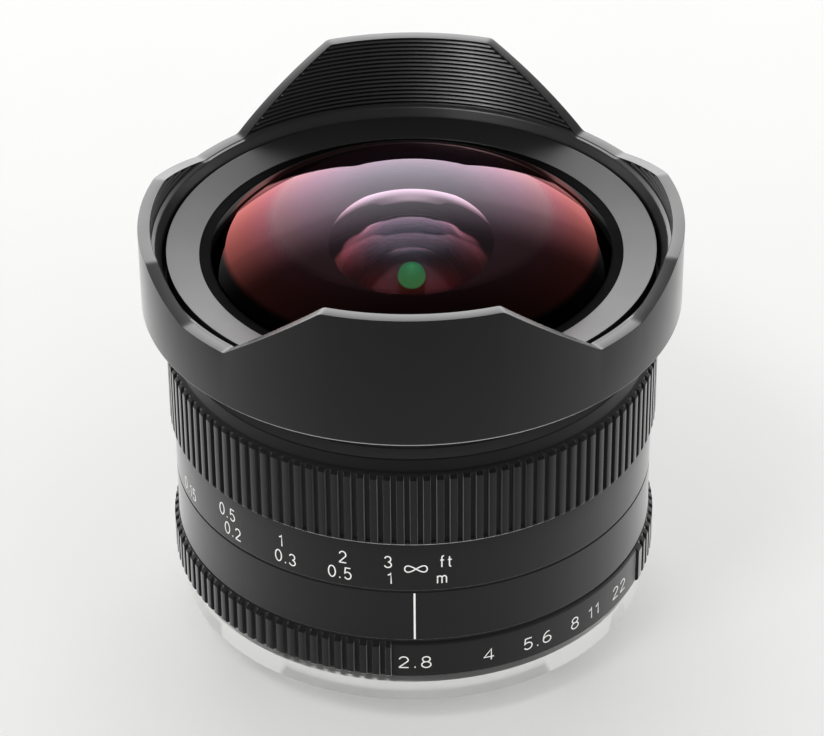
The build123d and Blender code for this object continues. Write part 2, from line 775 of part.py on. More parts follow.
def hood():
    wall = hood_radius - hood_rim_width
    lower_top = ledge_bottom_z
    points = [(hood_seat_radius + press_gap, hood_bottom_z),
              (hood_radius - hood_edge_chamfer, hood_bottom_z),
              (hood_radius, hood_bottom_z + hood_edge_chamfer), (hood_radius, tip_z), (wall, tip_z)]
    grooves = int((tip_z - groove_zone_bottom_z) / light_groove_pitch)
    for i in range(grooves):
        z = tip_z - light_groove_pitch * i
        points.append((wall + light_groove_depth, z - light_groove_pitch / 2))
        points.append((wall, z - light_groove_pitch))
    points += [(wall, groove_zone_bottom_z), (ledge_radius, ledge_top_z), (hood_lower_bore, lower_top),
               (hood_lower_bore, hood_bottom_z + hood_plate),
               (hood_seat_radius + press_gap, hood_bottom_z + hood_plate)]
    body = turned(points)
    side = petal_cutter()
    return body - [side, Rot(0, 0, 180) * side]


def name_ring():
    bore = hood_seat_radius + press_gap
    lip_z = name_ring_inner_z - name_ring_lip
    return turned([(bore, hood_bottom_z + hood_plate), (name_ring_radius, hood_bottom_z + hood_plate),
                   (name_ring_radius, name_ring_outer_z), (name_ring_bore, name_ring_inner_z),
                   (name_ring_bore, lip_z), (bore, lip_z)])


def glass_bezel():
    """A sleeve round the glass, with a lip over its shoulder and a flange over the wall."""
    inner, outer = front_glass_edge + press_gap, front_wall_bore - press_gap
    foot_z = glass_seat_z + bezel_foot_gap
    edge, edge_bottom_z = name_ring_bore - press_gap, front_wall_top_z + press_gap
    lip_bore = front_glass_shoulder_radius + press_gap
    top_z = front_glass_shoulder_z + bezel_lip
    return turned([(inner, foot_z), (outer, foot_z), (outer, edge_bottom_z),
                   (edge, edge_bottom_z), (edge, top_z), (lip_bore + bezel_chamfer, top_z),
                   (lip_bore, top_z - bezel_chamfer), (lip_bore, front_glass_shoulder_z),
                   (inner, front_glass_shoulder_z)])


# Glass and what spaces it

def foot(rim_z_value, radius, clear):
    """A back surface whose flat rim is at the given height."""
    return (vertex_z(rim_z_value, radius, clear), radius, clear)


def front_glass():
    blank = glass(front_glass_edge, front_glass_front,
                  foot(glass_seat_z, front_glass_back_radius, front_glass_back_clear))
    vertex, _, _ = front_glass_front
    return blank - ring(front_glass_shoulder_radius, front_glass_edge + overrun,
                        front_glass_shoulder_z, vertex)


def second_glass():
    return glass(second_glass_edge, second_glass_front,
                 foot(cell_shelf_z, second_glass_back_radius, second_glass_back_clear))


def third_glass():
    return glass(middle_glass_edge,
                 foot(third_glass_rim_z, third_glass_front_radius, third_glass_front_clear),
                 foot(third_glass_foot_z, third_glass_back_radius, third_glass_back_clear))


def fourth_glass():
    return glass(middle_glass_edge,
                 foot(fourth_glass_rim_z, fourth_glass_front_radius, fourth_glass_front_clear),
                 foot(fourth_glass_foot_z, fourth_glass_back_radius, fourth_glass_back_clear))


def fifth_glass():
    return glass(rear_glass_edge, foot(fifth_glass_rim_z, fifth_glass_radius, rear_glass_clear),
                 foot(fifth_glass_foot_z, -fifth_glass_radius, rear_glass_clear))


def sixth_glass():
    return glass(rear_glass_edge, foot(sixth_glass_rim_z, sixth_glass_radius, rear_glass_clear),
                 (first_cement_vertex_z, first_cement_radius, rear_glass_edge))


def seventh_glass():
    return glass(rear_glass_edge,
                 (first_cement_vertex_z - cement_gap, first_cement_radius, rear_glass_edge),
                 foot(seventh_glass_foot_z, seventh_glass_radius, rear_glass_clear))


def eighth_glass():
    return glass(rear_glass_edge, foot(eighth_glass_rim_z, eighth_glass_radius, rear_glass_clear),
                 (second_cement_vertex_z, second_cement_radius, rear_glass_edge))


def ninth_glass():
    return glass(rear_glass_edge,
                 (second_cement_vertex_z - cement_gap, second_cement_radius, rear_glass_edge),
                 foot(ninth_glass_foot_z, ninth_glass_radius, rear_glass_clear))


def tenth_glass():
    return glass(last_glass_edge, foot(rear_shelf_z, tenth_glass_front_radius, last_glass_clear),
                 foot(tenth_glass_foot_z, tenth_glass_back_radius, last_glass_clear))


def eleventh_glass():
    return glass(last_glass_edge,
                 foot(eleventh_glass_rim_z, eleventh_glass_front_radius, last_glass_clear),
                 foot(eleventh_glass_foot_z, eleventh_glass_back_radius, last_glass_clear))


def front_cell():
    bore = middle_glass_edge + press_gap
    pocket = second_glass_edge + press_gap
    web_top = web_bottom_z + web_thickness
    spigot = web_bore - press_gap
    body = turned([(cell_lip_bore, cell_spigot_bottom_z), (spigot, cell_spigot_bottom_z),
                   (spigot, web_top), (cell_radius, web_top), (cell_radius, cell_top_z),
                   (pocket, cell_top_z), (pocket, cell_shelf_z), (bore, cell_shelf_z),
                   (bore, fourth_glass_foot_z), (cell_lip_bore, fourth_glass_foot_z)])
    holes = [upright_rod(cell_screw_radius + press_gap, cell_screw_circle, web_top - overrun,
                         web_top + cell_screw_bite + press_gap, b)
             for b in bearings(cell_screw_count, cell_screw_bearing)]
    return body - holes


def cell_screw(bearing):
    shank = upright_rod(cell_screw_radius, cell_screw_circle, web_bottom_z,
                        web_bottom_z + web_thickness + cell_screw_bite, bearing)
    head = countersunk_head(cell_screw_radius, cell_screw_head, cell_screw_circle, web_bottom_z,
                            bearing, flip=True)
    slot = Box(cell_screw_head * 2, cell_screw_radius * socket_share, cell_screw_radius)
    return shank + head - on_bearing(Pos(0, -cell_screw_circle, up(web_bottom_z)) * slot, bearing)


def cell_ring():
    vertex, radius, clear = second_glass_front
    seat = surface_z(vertex, radius, clear)
    return ring(cell_ring_bore, second_glass_edge, seat, cell_top_z)


def spacer(edge, bottom_z, top_z):
    return ring(edge - spacer_wall, edge, bottom_z, top_z)


def rear_cell():
    flange_bottom = cup_bottom_z - rear_flange_thickness
    bore = rear_glass_edge + press_gap
    wide = last_glass_edge + press_gap
    body = turned([(wide, rear_cell_bottom_z), (rear_cell_radius, rear_cell_bottom_z),
                   (rear_cell_radius, flange_bottom), (cup_radius, flange_bottom),
                   (cup_radius, cup_bottom_z), (rear_glass_clear, cup_bottom_z),
                   (rear_glass_clear, fifth_glass_rim_z), (bore, fifth_glass_rim_z),
                   (bore, rear_shelf_z), (wide, rear_shelf_z)])
    holes = [upright_rod(stack_screw_radius + press_gap, stack_screw_circle, flange_bottom - overrun,
                         cup_bottom_z + overrun, b) for b in bearings(stack_screw_count)]
    return body - holes


def rear_ring():
    return ring(last_glass_clear, last_glass_edge, eleventh_glass_foot_z - rear_ring_height,
                eleventh_glass_foot_z)


def stack_screw(bearing):
    """One long screw through the rear cell and the iris cup into the sleeve's web."""
    seat = cup_bottom_z - rear_flange_thickness
    shank = upright_rod(stack_screw_radius, stack_screw_circle, seat,
                        web_bottom_z + stack_screw_bite, bearing)
    head = upright_rod(stack_screw_head, stack_screw_circle, seat - stack_screw_head_height, seat, bearing)
    slot = Box(stack_screw_head * 2, stack_screw_radius * socket_share, stack_screw_radius)
    place = Pos(0, -stack_screw_circle, up(seat - stack_screw_head_height))
    return shank + head - on_bearing(place * slot, bearing)


# Iris

def blade_swing_deg():
    """How far a blade turns from wide open to the smallest stop."""
    return degrees(2 * asin((blade_edge_radius - smallest_stop) / (2 * pivot_circle)))


def drive_pin_place(swing_deg):
    """Where the drive pin of the blade on bearing 0 of the pivot circle is, in plan."""
    angle = radians(swing_deg - blade_swing_deg() / 2)
    return pivot_circle + tail_length * sin(angle), -tail_length * cos(angle)


def blade_level_z(index):
    return cup_bottom_z + cup_floor + blade_first_lift + blade_step * index


def iris_blade(index):
    """A curved blade with its pivot pin below and its drive pin above."""
    level = blade_level_z(index)
    first, last = radians(blade_from_deg), radians(blade_to_deg)
    middle = (first + last) / 2
    inner, outer = blade_edge_radius, blade_outer_radius

    def on(radius, angle):
        return radius * cos(angle), radius * sin(angle)

    outline = Curve() + [ThreePointArc(on(inner, first), on(inner, middle), on(inner, last)),
                         Line(on(inner, last), on(outer, last)),
                         ThreePointArc(on(outer, last), on(outer, middle), on(outer, first)),
                         Line(on(outer, first), on(inner, first))]
    x, y = drive_pin_place(0)
    tail = Plane(origin=(pivot_circle, 0, 0), x_dir=(x - pivot_circle, y, 0), z_dir=(0, 0, 1))
    ear_root = blade_outer_radius - pivot_ear_radius
    ear = Rectangle(pivot_circle - ear_root, pivot_ear_radius * 2)
    plan = (make_face(outline)
            + Pos(pivot_circle, 0) * Circle(pivot_ear_radius)
            + Pos((ear_root + pivot_circle) / 2, 0) * ear
            + tail * (Pos(tail_length / 2, 0) * Rectangle(tail_length, tail_width))
            + Pos(x, y) * Circle(tail_ear_radius))
    plate = extrude(plan, amount=blade_thickness)
    base = Align.CENTER, Align.CENTER, Align.MIN
    pivot_height = level + blade_thickness - (cup_bottom_z + cup_floor - pivot_bite)
    pivot_rod = Cylinder(pivot_pin_radius, pivot_height, align=base)
    pivot = Pos(pivot_circle, 0, blade_thickness - pivot_height) * pivot_rod
    drive_height = cam_bottom_z + drive_pin_rise - level
    drive = Pos(x, y, 0) * Cylinder(drive_pin_radius, drive_height, align=base)
    body = Pos(0, 0, up(level)) * (plate + pivot + drive)
    return Rot(0, 0, 360.0 * index / blade_count) * body


def iris_cup():
    floor_top = cup_bottom_z + cup_floor
    body = turned([(stop_opening, cup_bottom_z), (cup_radius, cup_bottom_z), (cup_radius, web_bottom_z),
                   (cup_bore, web_bottom_z), (cup_bore, floor_top), (stop_opening, floor_top)])
    half = degrees(asin(cam_arm_width / 2 / cup_bore))
    tools = [wedge(cup_bore - overrun, cup_radius + overrun, cam_bottom_z - iris_cover_gap,
                   cam_bottom_z + cam_thickness + iris_cover_gap,
                   *lever_sweep(half, window_spare_deg))]
    for b in bearings(stack_screw_count):
        tools.append(upright_rod(stack_screw_radius + press_gap, stack_screw_circle,
                                 cup_bottom_z - overrun, web_bottom_z + overrun, b))
    for i in range(blade_count):
        hole = Cylinder(pivot_pin_radius + slide_gap, pivot_bite + slide_gap + overrun,
                        align=(Align.CENTER, Align.CENTER, Align.MIN))
        place = Pos(pivot_circle, 0, up(floor_top - pivot_bite - slide_gap))
        tools.append(Rot(0, 0, 360.0 * i / blade_count) * place * hole)
    return body - tools


def cam_slot():
    """The path of one drive pin as the cam ring sees it, as wide as the pin and its play."""
    points = []
    for i in range(cam_path_points):
        part = i / (cam_path_points - 1)
        x, y = drive_pin_place(blade_swing_deg() * part)
        angle = atan2(y, x) + radians(aperture_turn_deg) * part
        points.append((hypot(x, y) * cos(angle), hypot(x, y) * sin(angle)))
    half = drive_pin_radius + slide_gap
    plan = trace(Spline(*points), half * 2) + [Pos(*p) * Circle(half) for p in (points[0], points[-1])]
    return Pos(0, 0, up(cam_bottom_z) - overrun) * extrude(plan, amount=cam_thickness + overrun * 2)


def iris_cam():
    body = ring(cam_bore, cup_bore - run_gap, cam_bottom_z, cam_bottom_z + cam_thickness)
    arm = radial_block(cam_arm_width, cam_bore + overrun, cam_arm_reach, cam_bottom_z,
                       cam_bottom_z + cam_thickness, lever_bearing)
    slot = cam_slot()
    return body + arm - [Rot(0, 0, 360.0 * i / blade_count) * slot for i in range(blade_count)]


def iris_cover():
    bottom = cam_bottom_z + cam_thickness + iris_cover_gap
    return ring(web_bore + press_gap, cup_bore - press_gap, bottom, bottom + iris_cover_thickness)


os.makedirs("parts", exist_ok=True)

save("mount_flange", mount_flange())
save("mount_screws", *[mount_screw(b) for b in bearings(mount_screw_count, mount_screw_bearing)])
save("rear_baffle", rear_baffle())
save("main_barrel", main_barrel())
save("guide_keys", *[guide_key(b) for b in bearings(key_count)])
save("key_screws", *[key_screw(b) for b in bearings(key_count)])
save("index_ring", index_ring())
save("index_screws", *[index_screw(b) for b in bearings(index_screw_count, index_screw_bearing)])
save("focus_stop_pin", stop_pin())
save("nut_retaining_ring", nut_retaining_ring())

save("aperture_ring", aperture_ring())
save("aperture_lever", aperture_lever())
save("lever_screw", lever_screw())

save("focus_grip_ring", focus_grip_ring())
save("helicoid_nut", helicoid_nut())
save("grip_screws", *[grip_screw(b) for b in bearings(grip_screw_count, grip_screw_bearing)])

save("helicoid_sleeve", helicoid_sleeve())
save("front_barrel", front_barrel())
save("neck_screws", *[neck_screw(b) for b in bearings(neck_screw_count, neck_screw_bearing)])
save("hood", hood())
save("name_ring", name_ring())
save("glass_bezel", glass_bezel())
save("front_cell", front_cell())
save("cell_screws", *[cell_screw(b) for b in bearings(cell_screw_count, cell_screw_bearing)])
save("cell_retaining_ring", cell_ring())
save("rear_cell", rear_cell())
save("rear_retaining_ring", rear_ring())
save("stack_screws", *[stack_screw(b) for b in bearings(stack_screw_count)])

glasses = {"front_glass": front_glass, "second_glass": second_glass, "third_glass": third_glass,
           "fourth_glass": fourth_glass, "fifth_glass": fifth_glass, "sixth_glass": sixth_glass,
           "seventh_glass": seventh_glass, "eighth_glass": eighth_glass, "ninth_glass": ninth_glass,
           "tenth_glass": tenth_glass, "eleventh_glass": eleventh_glass}
for name, make in glasses.items():
    save(name, make())

spacers = {"second_glass_spacer": (middle_glass_edge, third_glass_rim_z, cell_shelf_z),
           "third_glass_spacer": (middle_glass_edge, fourth_glass_rim_z, third_glass_foot_z),
           "fifth_glass_spacer": (rear_glass_edge, sixth_glass_rim_z, fifth_glass_foot_z),
           "seventh_glass_spacer": (rear_glass_edge, eighth_glass_rim_z, seventh_glass_foot_z),
           "ninth_glass_spacer": (rear_glass_edge, rear_shelf_z, ninth_glass_foot_z),
           "tenth_glass_spacer": (last_glass_edge, eleventh_glass_rim_z, tenth_glass_foot_z)}
for name, (edge, bottom_z, top_z) in spacers.items():
    save(name, spacer(edge, bottom_z, top_z))

save("iris_cup", iris_cup())
save("iris_cam_ring", iris_cam())
save("iris_cover", iris_cover())
for i in range(blade_count):
    save(f"iris_blade_{i + 1}", iris_blade(i))
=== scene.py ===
import bmesh
import bpy
import numpy as np
from mathutils import Matrix, Vector


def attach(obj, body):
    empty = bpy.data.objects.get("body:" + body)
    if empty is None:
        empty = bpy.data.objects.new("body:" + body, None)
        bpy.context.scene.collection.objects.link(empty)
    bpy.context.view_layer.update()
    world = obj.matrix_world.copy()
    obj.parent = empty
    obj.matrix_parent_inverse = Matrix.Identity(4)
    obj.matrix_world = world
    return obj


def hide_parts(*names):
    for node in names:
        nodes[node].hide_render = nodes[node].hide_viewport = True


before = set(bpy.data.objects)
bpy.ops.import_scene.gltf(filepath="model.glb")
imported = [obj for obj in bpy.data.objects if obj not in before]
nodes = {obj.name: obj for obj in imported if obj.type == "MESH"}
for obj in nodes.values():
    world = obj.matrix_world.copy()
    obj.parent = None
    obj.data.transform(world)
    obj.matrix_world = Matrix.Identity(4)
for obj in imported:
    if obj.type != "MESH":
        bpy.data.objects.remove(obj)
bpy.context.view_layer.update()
print("frame loaded:", len(nodes), "nodes")

# Fisheye lens with a petal hood, standing on its bayonet. Lengths are in millimetres until
# they go into a mesh. Heights are above the seat of the flange, bearings are in degrees from
# the front (-Y, where the index line is) towards +X.
mm = 0.001
seatHeight = 4.0
renderWidth = 824


# Meshes from grids

# Shares of the shorter side of a corner that its arc and its outer points may take, and how
# many times further out than the arc the outer points lie
cornerShare = {"arc": 0.4, "flat": 0.48, "outside": 1.8}


def roundedOutline(corners, steps=4):
    # Closed outline of (radius, height, rounding). Corner C becomes the curve
    # (1-t)^2 A + 2t(1-t) C + t^2 B, where A and B lie the rounding away on its two sides,
    # with one more point outside each of A and B, so that the flats stay flat.
    corners = np.array(corners, float)
    place, rounding = corners[:, :2], corners[:, 2:]
    before, after = np.roll(place, 1, 0) - place, np.roll(place, -1, 0) - place
    reachBefore = np.linalg.norm(before, axis=1, keepdims=True)
    reachAfter = np.linalg.norm(after, axis=1, keepdims=True)
    shorter = np.minimum(reachBefore, reachAfter)
    cut = np.minimum(rounding, cornerShare["arc"] * shorter)
    spare = np.minimum(cut * cornerShare["outside"], cornerShare["flat"] * shorter)
    a, b = place + before / reachBefore * cut, place + after / reachAfter * cut
    t = np.linspace(0, 1, steps)[None, :, None]
    arcs = (1 - t) ** 2 * a[:, None] + 2 * t * (1 - t) * place[:, None] + t ** 2 * b[:, None]
    first = (place + before / reachBefore * spare)[:, None]
    last = (place + after / reachAfter * spare)[:, None]
    return np.concatenate([first, arcs, last], 1).reshape(-1, 2)


def wrapped(radius, height, bearing):
    # (radius sin b, -radius cos b, height above the ground), b the bearing
    b = np.radians(bearing)
    radius, height, b = np.broadcast_arrays(radius, height, b)
    return np.stack([radius * np.sin(b), -radius * np.cos(b), height + seatHeight], -1)


def gridCells(rows, columns, closeRows):
    # Cell (i, j) of the grid is the face (i, j), (i, j+1), (i+1, j+1), (i+1, j). Columns close
    # into a loop, rows only if closeRows
    number = np.arange(rows * columns).reshape(rows, columns)
    right, above = np.roll(number, -1, 1), np.roll(number, -1, 0)
    cells = np.stack([number, right, np.roll(right, -1, 0), above], -1)
    return cells[:None if closeRows else -1].reshape(-1, 4)


meshing = {"sharpDegrees": 38, "mergeBelow": 0.0015, "dissolveBelow": 0.00015}


def finishShell(shell, name, sharpDegrees):
    # Faces turned outwards, smooth between edges sharper than that angle
    bmesh.ops.recalc_face_normals(shell, faces=shell.faces)
    mesh = bpy.data.meshes.new(name)
    shell.to_mesh(mesh)
    shell.free()
    mesh.shade_smooth()
    mesh.set_sharp_from_angle(angle=np.radians(sharpDegrees))
    piece = bpy.data.objects.new(name, mesh)
    bpy.context.scene.collection.objects.link(piece)
    return piece


def meshPiece(name, points, faces):
    mesh = bpy.data.meshes.new(name)
    mesh.from_pydata((points.reshape(-1, 3) * mm).tolist(), [], faces.tolist())
    shell = bmesh.new()
    shell.from_mesh(mesh)
    bpy.data.meshes.remove(mesh)
    bmesh.ops.remove_doubles(shell, verts=shell.verts, dist=meshing["mergeBelow"] * mm)
    bmesh.ops.dissolve_degenerate(shell, edges=shell.edges, dist=meshing["dissolveBelow"] * mm)
    return finishShell(shell, name, meshing["sharpDegrees"])


def gridPiece(name, points, closeRows=True):
    rows, columns = points.shape[:2]
    return meshPiece(name, points, gridCells(rows, columns, closeRows))


def turnedPiece(name, outline, columns=360, closeRows=True):
    # The outline carried round the optical axis
    bearing = np.arange(columns) * 360 / columns
    points = wrapped(outline[:, None, 0], outline[:, None, 1], bearing[None, :])
    return gridPiece(name, points, closeRows)


def smoothCopy(name, node, sharpDegrees, mergeBelow):
    # The CAD node's own triangles, merged into one shell and shaded smooth between its edges
    shell = bmesh.new()
    shell.from_mesh(nodes[node].data)
    bmesh.ops.remove_doubles(shell, verts=shell.verts, dist=mergeBelow * mm)
    return finishShell(shell, name, sharpDegrees)


def faceValues(piece, kind):
    # One row per face of the mesh: its "center" in metres, or its "normal"
    values = np.empty(len(piece.data.polygons) * 3)
    piece.data.polygons.foreach_get(kind, values)
    return values.reshape(-1, 3)


def facePlaces(piece):
    # Radius and height of the middle of each face, in mm
    centre = faceValues(piece, "center") / mm
    return np.hypot(centre[:, 0], centre[:, 1]), centre[:, 2] - seatHeight


def setMaterialNumbers(piece, numbers):
    piece.data.polygons.foreach_set("material_index", numbers.astype(np.int32))


def place(piece, body, slotName, material, replaced=()):
    piece.data.materials.clear()
    for m in material if isinstance(material, list) else [material]:
        piece.data.materials.append(m)
    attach(piece, body)
    if replaced:
        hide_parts(*replaced)
    return piece


# Materials

def toLinear(colour):
    # sRGB hex to linear: ((c + 0.055) / 1.055) ^ 2.4, and c / 12.92 for the darkest
    parts = np.array([int(colour[i:i + 2], 16) for i in (1, 3, 5)]) / 255
    linear = np.where(parts <= 0.04045, parts / 12.92, ((parts + 0.055) / 1.055) ** 2.4)
    return (*linear.tolist(), 1.0)


def addNode(tree, kind, settings=None, links=None):
    # settings set an input by its name or number, or else a property; links feed an input
    # from (node, output)
    node = tree.nodes.new(kind)
    for key, value in (settings or {}).items():
        if isinstance(key, int) or key in node.inputs:
            node.inputs[key].default_value = value
        else:
            setattr(node, key, value)
    for key, (source, output) in (links or {}).items():
        tree.links.new(source.outputs[output], node.inputs[key])
    return node


def addRamp(tree, stops, source):
    # Colour ramp through (position, hex or grey value) stops
    ramp = addNode(tree, "ShaderNodeValToRGB", None, {0: source})
    elements = ramp.color_ramp.elements
    while len(elements) < len(stops):
        elements.new(0.5)
    for element, (position, colour) in zip(elements, stops):
        element.position = position
        element.color = toLinear(colour) if isinstance(colour, str) else (colour, colour, colour, 1)
    return ramp


def newMaterial(name, shader):
    material = bpy.data.materials.new(name)
    material.use_nodes = True
    tree = material.node_tree
    surface = tree.nodes["Principled BSDF"]
    for socket, value in shader.items():
        surface.inputs[socket].default_value = value
    coords = addNode(tree, "ShaderNodeTexCoord")
    return material, tree, surface, coords


def addRange(tree, source, start, end, low=0.0, high=1.0):
    return addNode(tree, "ShaderNodeMapRange", {1: start, 2: end, 3: low, 4: high}, {0: source})


def addMix(tree, first, second, source):
    # From the first colour to the second as the source goes from 0 to 1
    return addNode(tree, "ShaderNodeMix", {
        "data_type": "RGBA", 6: toLinear(first), 7: toLinear(second)}, {0: source})


noiseSpread = (0.3, 0.7)  # where nearly all of a noise's values lie
grainNoise = {"detail": 3.0, "bump": 0.6, "patch": 7, "patchDetail": 2.0}


def addPatches(tree, coords, size, detail, low, high):
    # Roughness that wanders from low to high in soft patches of that size in mm
    patch = addNode(tree, "ShaderNodeTexNoise", {"Scale": 1 / (size * mm), "Detail": detail},
                    {"Vector": (coords, "Object")})
    return addRange(tree, (patch, 0), *noiseSpread, low, high)


def grainFinish(material, grain, depth, roughness, colours):
    # Fine bead-blast or moulding grain: noise of that grain size in mm gives the bump and a
    # slight change between two colours; the roughness wanders in patches
    _, tree, surface, coords = material
    noise = addNode(tree, "ShaderNodeTexNoise", {
        "Scale": 1 / (grain * mm), "Detail": grainNoise["detail"]}, {"Vector": (coords, "Object")})
    bump = addNode(tree, "ShaderNodeBump", {
        "Strength": grainNoise["bump"], "Distance": depth * mm}, {"Height": (noise, 0)})
    spread = addPatches(tree, coords, grainNoise["patch"], grainNoise["patchDetail"], *roughness)
    tone = addMix(tree, *colours, (noise, 0))
    tree.links.new(bump.outputs[0], surface.inputs["Normal"])
    tree.links.new(spread.outputs[0], surface.inputs["Roughness"])
    tree.links.new(tone.outputs[2], surface.inputs["Base Color"])
    return material[0]


# Black anodised aluminium, bead-blasted before it was dyed: a deep neutral black with a
# satin sheen that the eye reads as fine grain. The real grain is about 0.05 mm; it is drawn
# at 0.16 mm so that it shows.
blackAnodised = grainFinish(
    newMaterial("blackAnodisedAluminium", {
        "IOR": 1.5, "Specular IOR Level": 0.14, "Sheen Weight": 1.0, "Sheen Roughness": 0.38}),
    grain=0.16, depth=0.008, roughness=(0.48, 0.54), colours=("#08080a", "#0b0b0c"))

# The same dye on a turned, unblasted face: a little smoother and darker
innerAnodised = grainFinish(
    newMaterial("innerBlackAnodised", {"IOR": 1.5}),
    grain=0.2, depth=0.01, roughness=(0.42, 0.5), colours=("#0c0c0d", "#101012"))

# Satin dark anodised aluminium of the name ring, without its lettering
ringAnodised = grainFinish(
    newMaterial("satinAnodisedNameRing", {"IOR": 1.9}),
    grain=0.2, depth=0.008, roughness=(0.30, 0.35), colours=("#1c1c1d", "#232324"))

# Black baffle paint: dull, so that hardly any light comes back out of the barrel
bafflePaint = grainFinish(
    newMaterial("bafflePaint", {"IOR": 1.45}),
    grain=0.3, depth=0.02, roughness=(0.7, 0.8), colours=("#0a0a0a", "#0e0e0e"))

# Inside of the hood: grooved and dull, and drawn as a darker copy without the sheen: painted shade
# for the hollow of the hood
hoodInsidePaintedShade = grainFinish(
    newMaterial("groovedHoodInsidePaintedShade", {"IOR": 1.5, "Specular IOR Level": 0.34}),
    grain=0.16, depth=0.008, roughness=(0.43, 0.48), colours=("#070708", "#0a0a0b"))

# A lighter, smoother and shinier copy of the black anodising for the hood's rim and ledge: painted
# light, so that these faces, which mostly look up, read bright
rimAndLedgePaintedLight = grainFinish(
    newMaterial("hoodRimPaintedLight", {"IOR": 2.3}),
    grain=0.2, depth=0.008, roughness=(0.30, 0.36), colours=("#101011", "#161617"))

# Dull black lacquer of the ring that holds the front glass
bezelLacquer = grainFinish(
    newMaterial("bezelLacquer", {"IOR": 1.4, "Specular IOR Level": 0.05}),
    grain=0.3, depth=0.01, roughness=(0.6, 0.7), colours=("#050506", "#080809"))

# Moulded black polycarbonate
blackPlastic = grainFinish(
    newMaterial("mouldedBlackPlastic", {"IOR": 1.58}),
    grain=0.35, depth=0.01, roughness=(0.42, 0.5), colours=("#121212", "#181818"))

# White filling paint in the engraved figures: opaque, slightly chalky
whitePaint = grainFinish(
    newMaterial("whiteEngravingPaint", {"IOR": 1.5}),
    grain=0.3, depth=0.004, roughness=(0.5, 0.6), colours=("#e9e9e6", "#f2f2ef"))

# Blackened steel screws with a trace of oil
blackSteel = grainFinish(
    newMaterial("blackenedSteel", {"Metallic": 1.0}),
    grain=0.2, depth=0.01, roughness=(0.3, 0.38), colours=("#2a2a2c", "#333336"))

# Bright steel of the flange screws
brightSteel = grainFinish(
    newMaterial("brightSteel", {"Metallic": 1.0}),
    grain=0.25, depth=0.006, roughness=(0.2, 0.28), colours=("#a9aaab", "#b6b7b8"))

# Iris blade steel with a dull dark coat
bladeSteel = grainFinish(
    newMaterial("coatedBladeSteel", {"Metallic": 0.6}),
    grain=0.3, depth=0.004, roughness=(0.45, 0.55), colours=("#141415", "#1b1b1d"))

# Greased brass of the helicoid nut
brass = grainFinish(
    newMaterial("greasedBrass", {"Metallic": 1.0}),
    grain=0.3, depth=0.01, roughness=(0.28, 0.36), colours=("#9c7f45", "#b08f50"))


def addRadius(tree, coords):
    # Distance from the optical axis, in metres
    parts = addNode(tree, "ShaderNodeSeparateXYZ", None, {0: (coords, "Object")})
    flat = addNode(tree, "ShaderNodeCombineXYZ", None, {0: (parts, 0), 1: (parts, 1)})
    return addNode(tree, "ShaderNodeVectorMath", {"operation": "LENGTH"}, {0: (flat, 0)})


def addRadiusRamp(tree, coords, stops):
    # Colour by the distance from the axis through (mm, hex) stops
    reach = stops[-1][0]
    share = addRange(tree, (addRadius(tree, coords), "Value"), 0.0, reach * mm)
    return addRamp(tree, [(radius / reach, colour) for radius, colour in stops], (share, 0))


def addMath(tree, operation, first, second):
    # second is a constant or (node, output)
    if isinstance(second, tuple):
        return addNode(tree, "ShaderNodeMath", {"operation": operation}, {0: first, 1: second})
    return addNode(tree, "ShaderNodeMath", {"operation": operation, 1: second}, {0: first})


# ring, depth and patch are in mm
chromePlate = {"ring": 0.12, "ringDetail": 2.0, "depth": 0.006, "bump": 0.5, "patch": 9,
               "patchDetail": 3.0, "roughness": (0.36, 0.44), "colours": ("#efefed", "#f6f6f5")}


def turnedChrome(c):
    # Satin chrome plating over turned brass: a bright cool metal with fine rings about the
    # axis, and faint patches from handling. The rings follow radius + height, so that they
    # show on flat faces and on walls.
    material, tree, surface, coords = newMaterial("satinChromePlate", {"Metallic": 1.0})
    parts = addNode(tree, "ShaderNodeSeparateXYZ", None, {0: (coords, "Object")})
    across = addMath(tree, "ADD", (addRadius(tree, coords), "Value"), (parts, 2))
    rings = addNode(tree, "ShaderNodeTexNoise", {
        "noise_dimensions": "1D", "Scale": 1 / (c["ring"] * mm), "Detail": c["ringDetail"]},
        {"W": (across, 0)})
    bump = addNode(tree, "ShaderNodeBump", {"Strength": c["bump"], "Distance": c["depth"] * mm},
                   {"Height": (rings, 0)})
    spread = addPatches(tree, coords, c["patch"], c["patchDetail"], *c["roughness"])
    tone = addMix(tree, *c["colours"], (rings, 0))
    tree.links.new(bump.outputs[0], surface.inputs["Normal"])
    tree.links.new(spread.outputs[0], surface.inputs["Roughness"])
    tree.links.new(tone.outputs[2], surface.inputs["Base Color"])
    return material


chrome = turnedChrome(chromePlate)

clearColour = "#fbfdfc"
clearGlass = {"Transmission Weight": 1.0, "Roughness": 0.0, "Base Color": toLinear(clearColour)}
paintBehind = {"colour": "#020202", "blend": 1.0}
skinCoat = {"Coat Weight": 1.0, "Coat Roughness": 0.0, "Coat IOR": 1.1}


def coatedGlass(name, ior, skin=None, opaqueFrom=None):
    # Clear optical glass. Its coating is drawn as a tinted skin, colour by radius: faint violet
    # in the middle, orange-red towards the rim, where light strikes it at a slant. Beyond the
    # radius opaqueFrom only black paint lies behind the glass, so there it is black inside.
    material, tree, surface, coords = newMaterial(name, {**clearGlass, "IOR": ior})
    if skin:
        for socket, value in skinCoat.items():
            surface.inputs[socket].default_value = value
        tint = addRadiusRamp(tree, coords, skin)
        tree.links.new(tint.outputs[0], surface.inputs["Coat Tint"])
    if opaqueFrom:
        edge, blend = opaqueFrom * mm, paintBehind["blend"] * mm
        radius = (addRadius(tree, coords), "Value")
        clear = addRange(tree, radius, edge, edge + blend, 1.0, 0.0)
        bright = addRange(tree, radius, edge - blend, edge, 1.0, 0.0)
        inside = addMix(tree, paintBehind["colour"], clearColour, (bright, 0))
        tree.links.new(clear.outputs[0], surface.inputs["Transmission Weight"])
        tree.links.new(inside.outputs[2], surface.inputs["Base Color"])
    return material


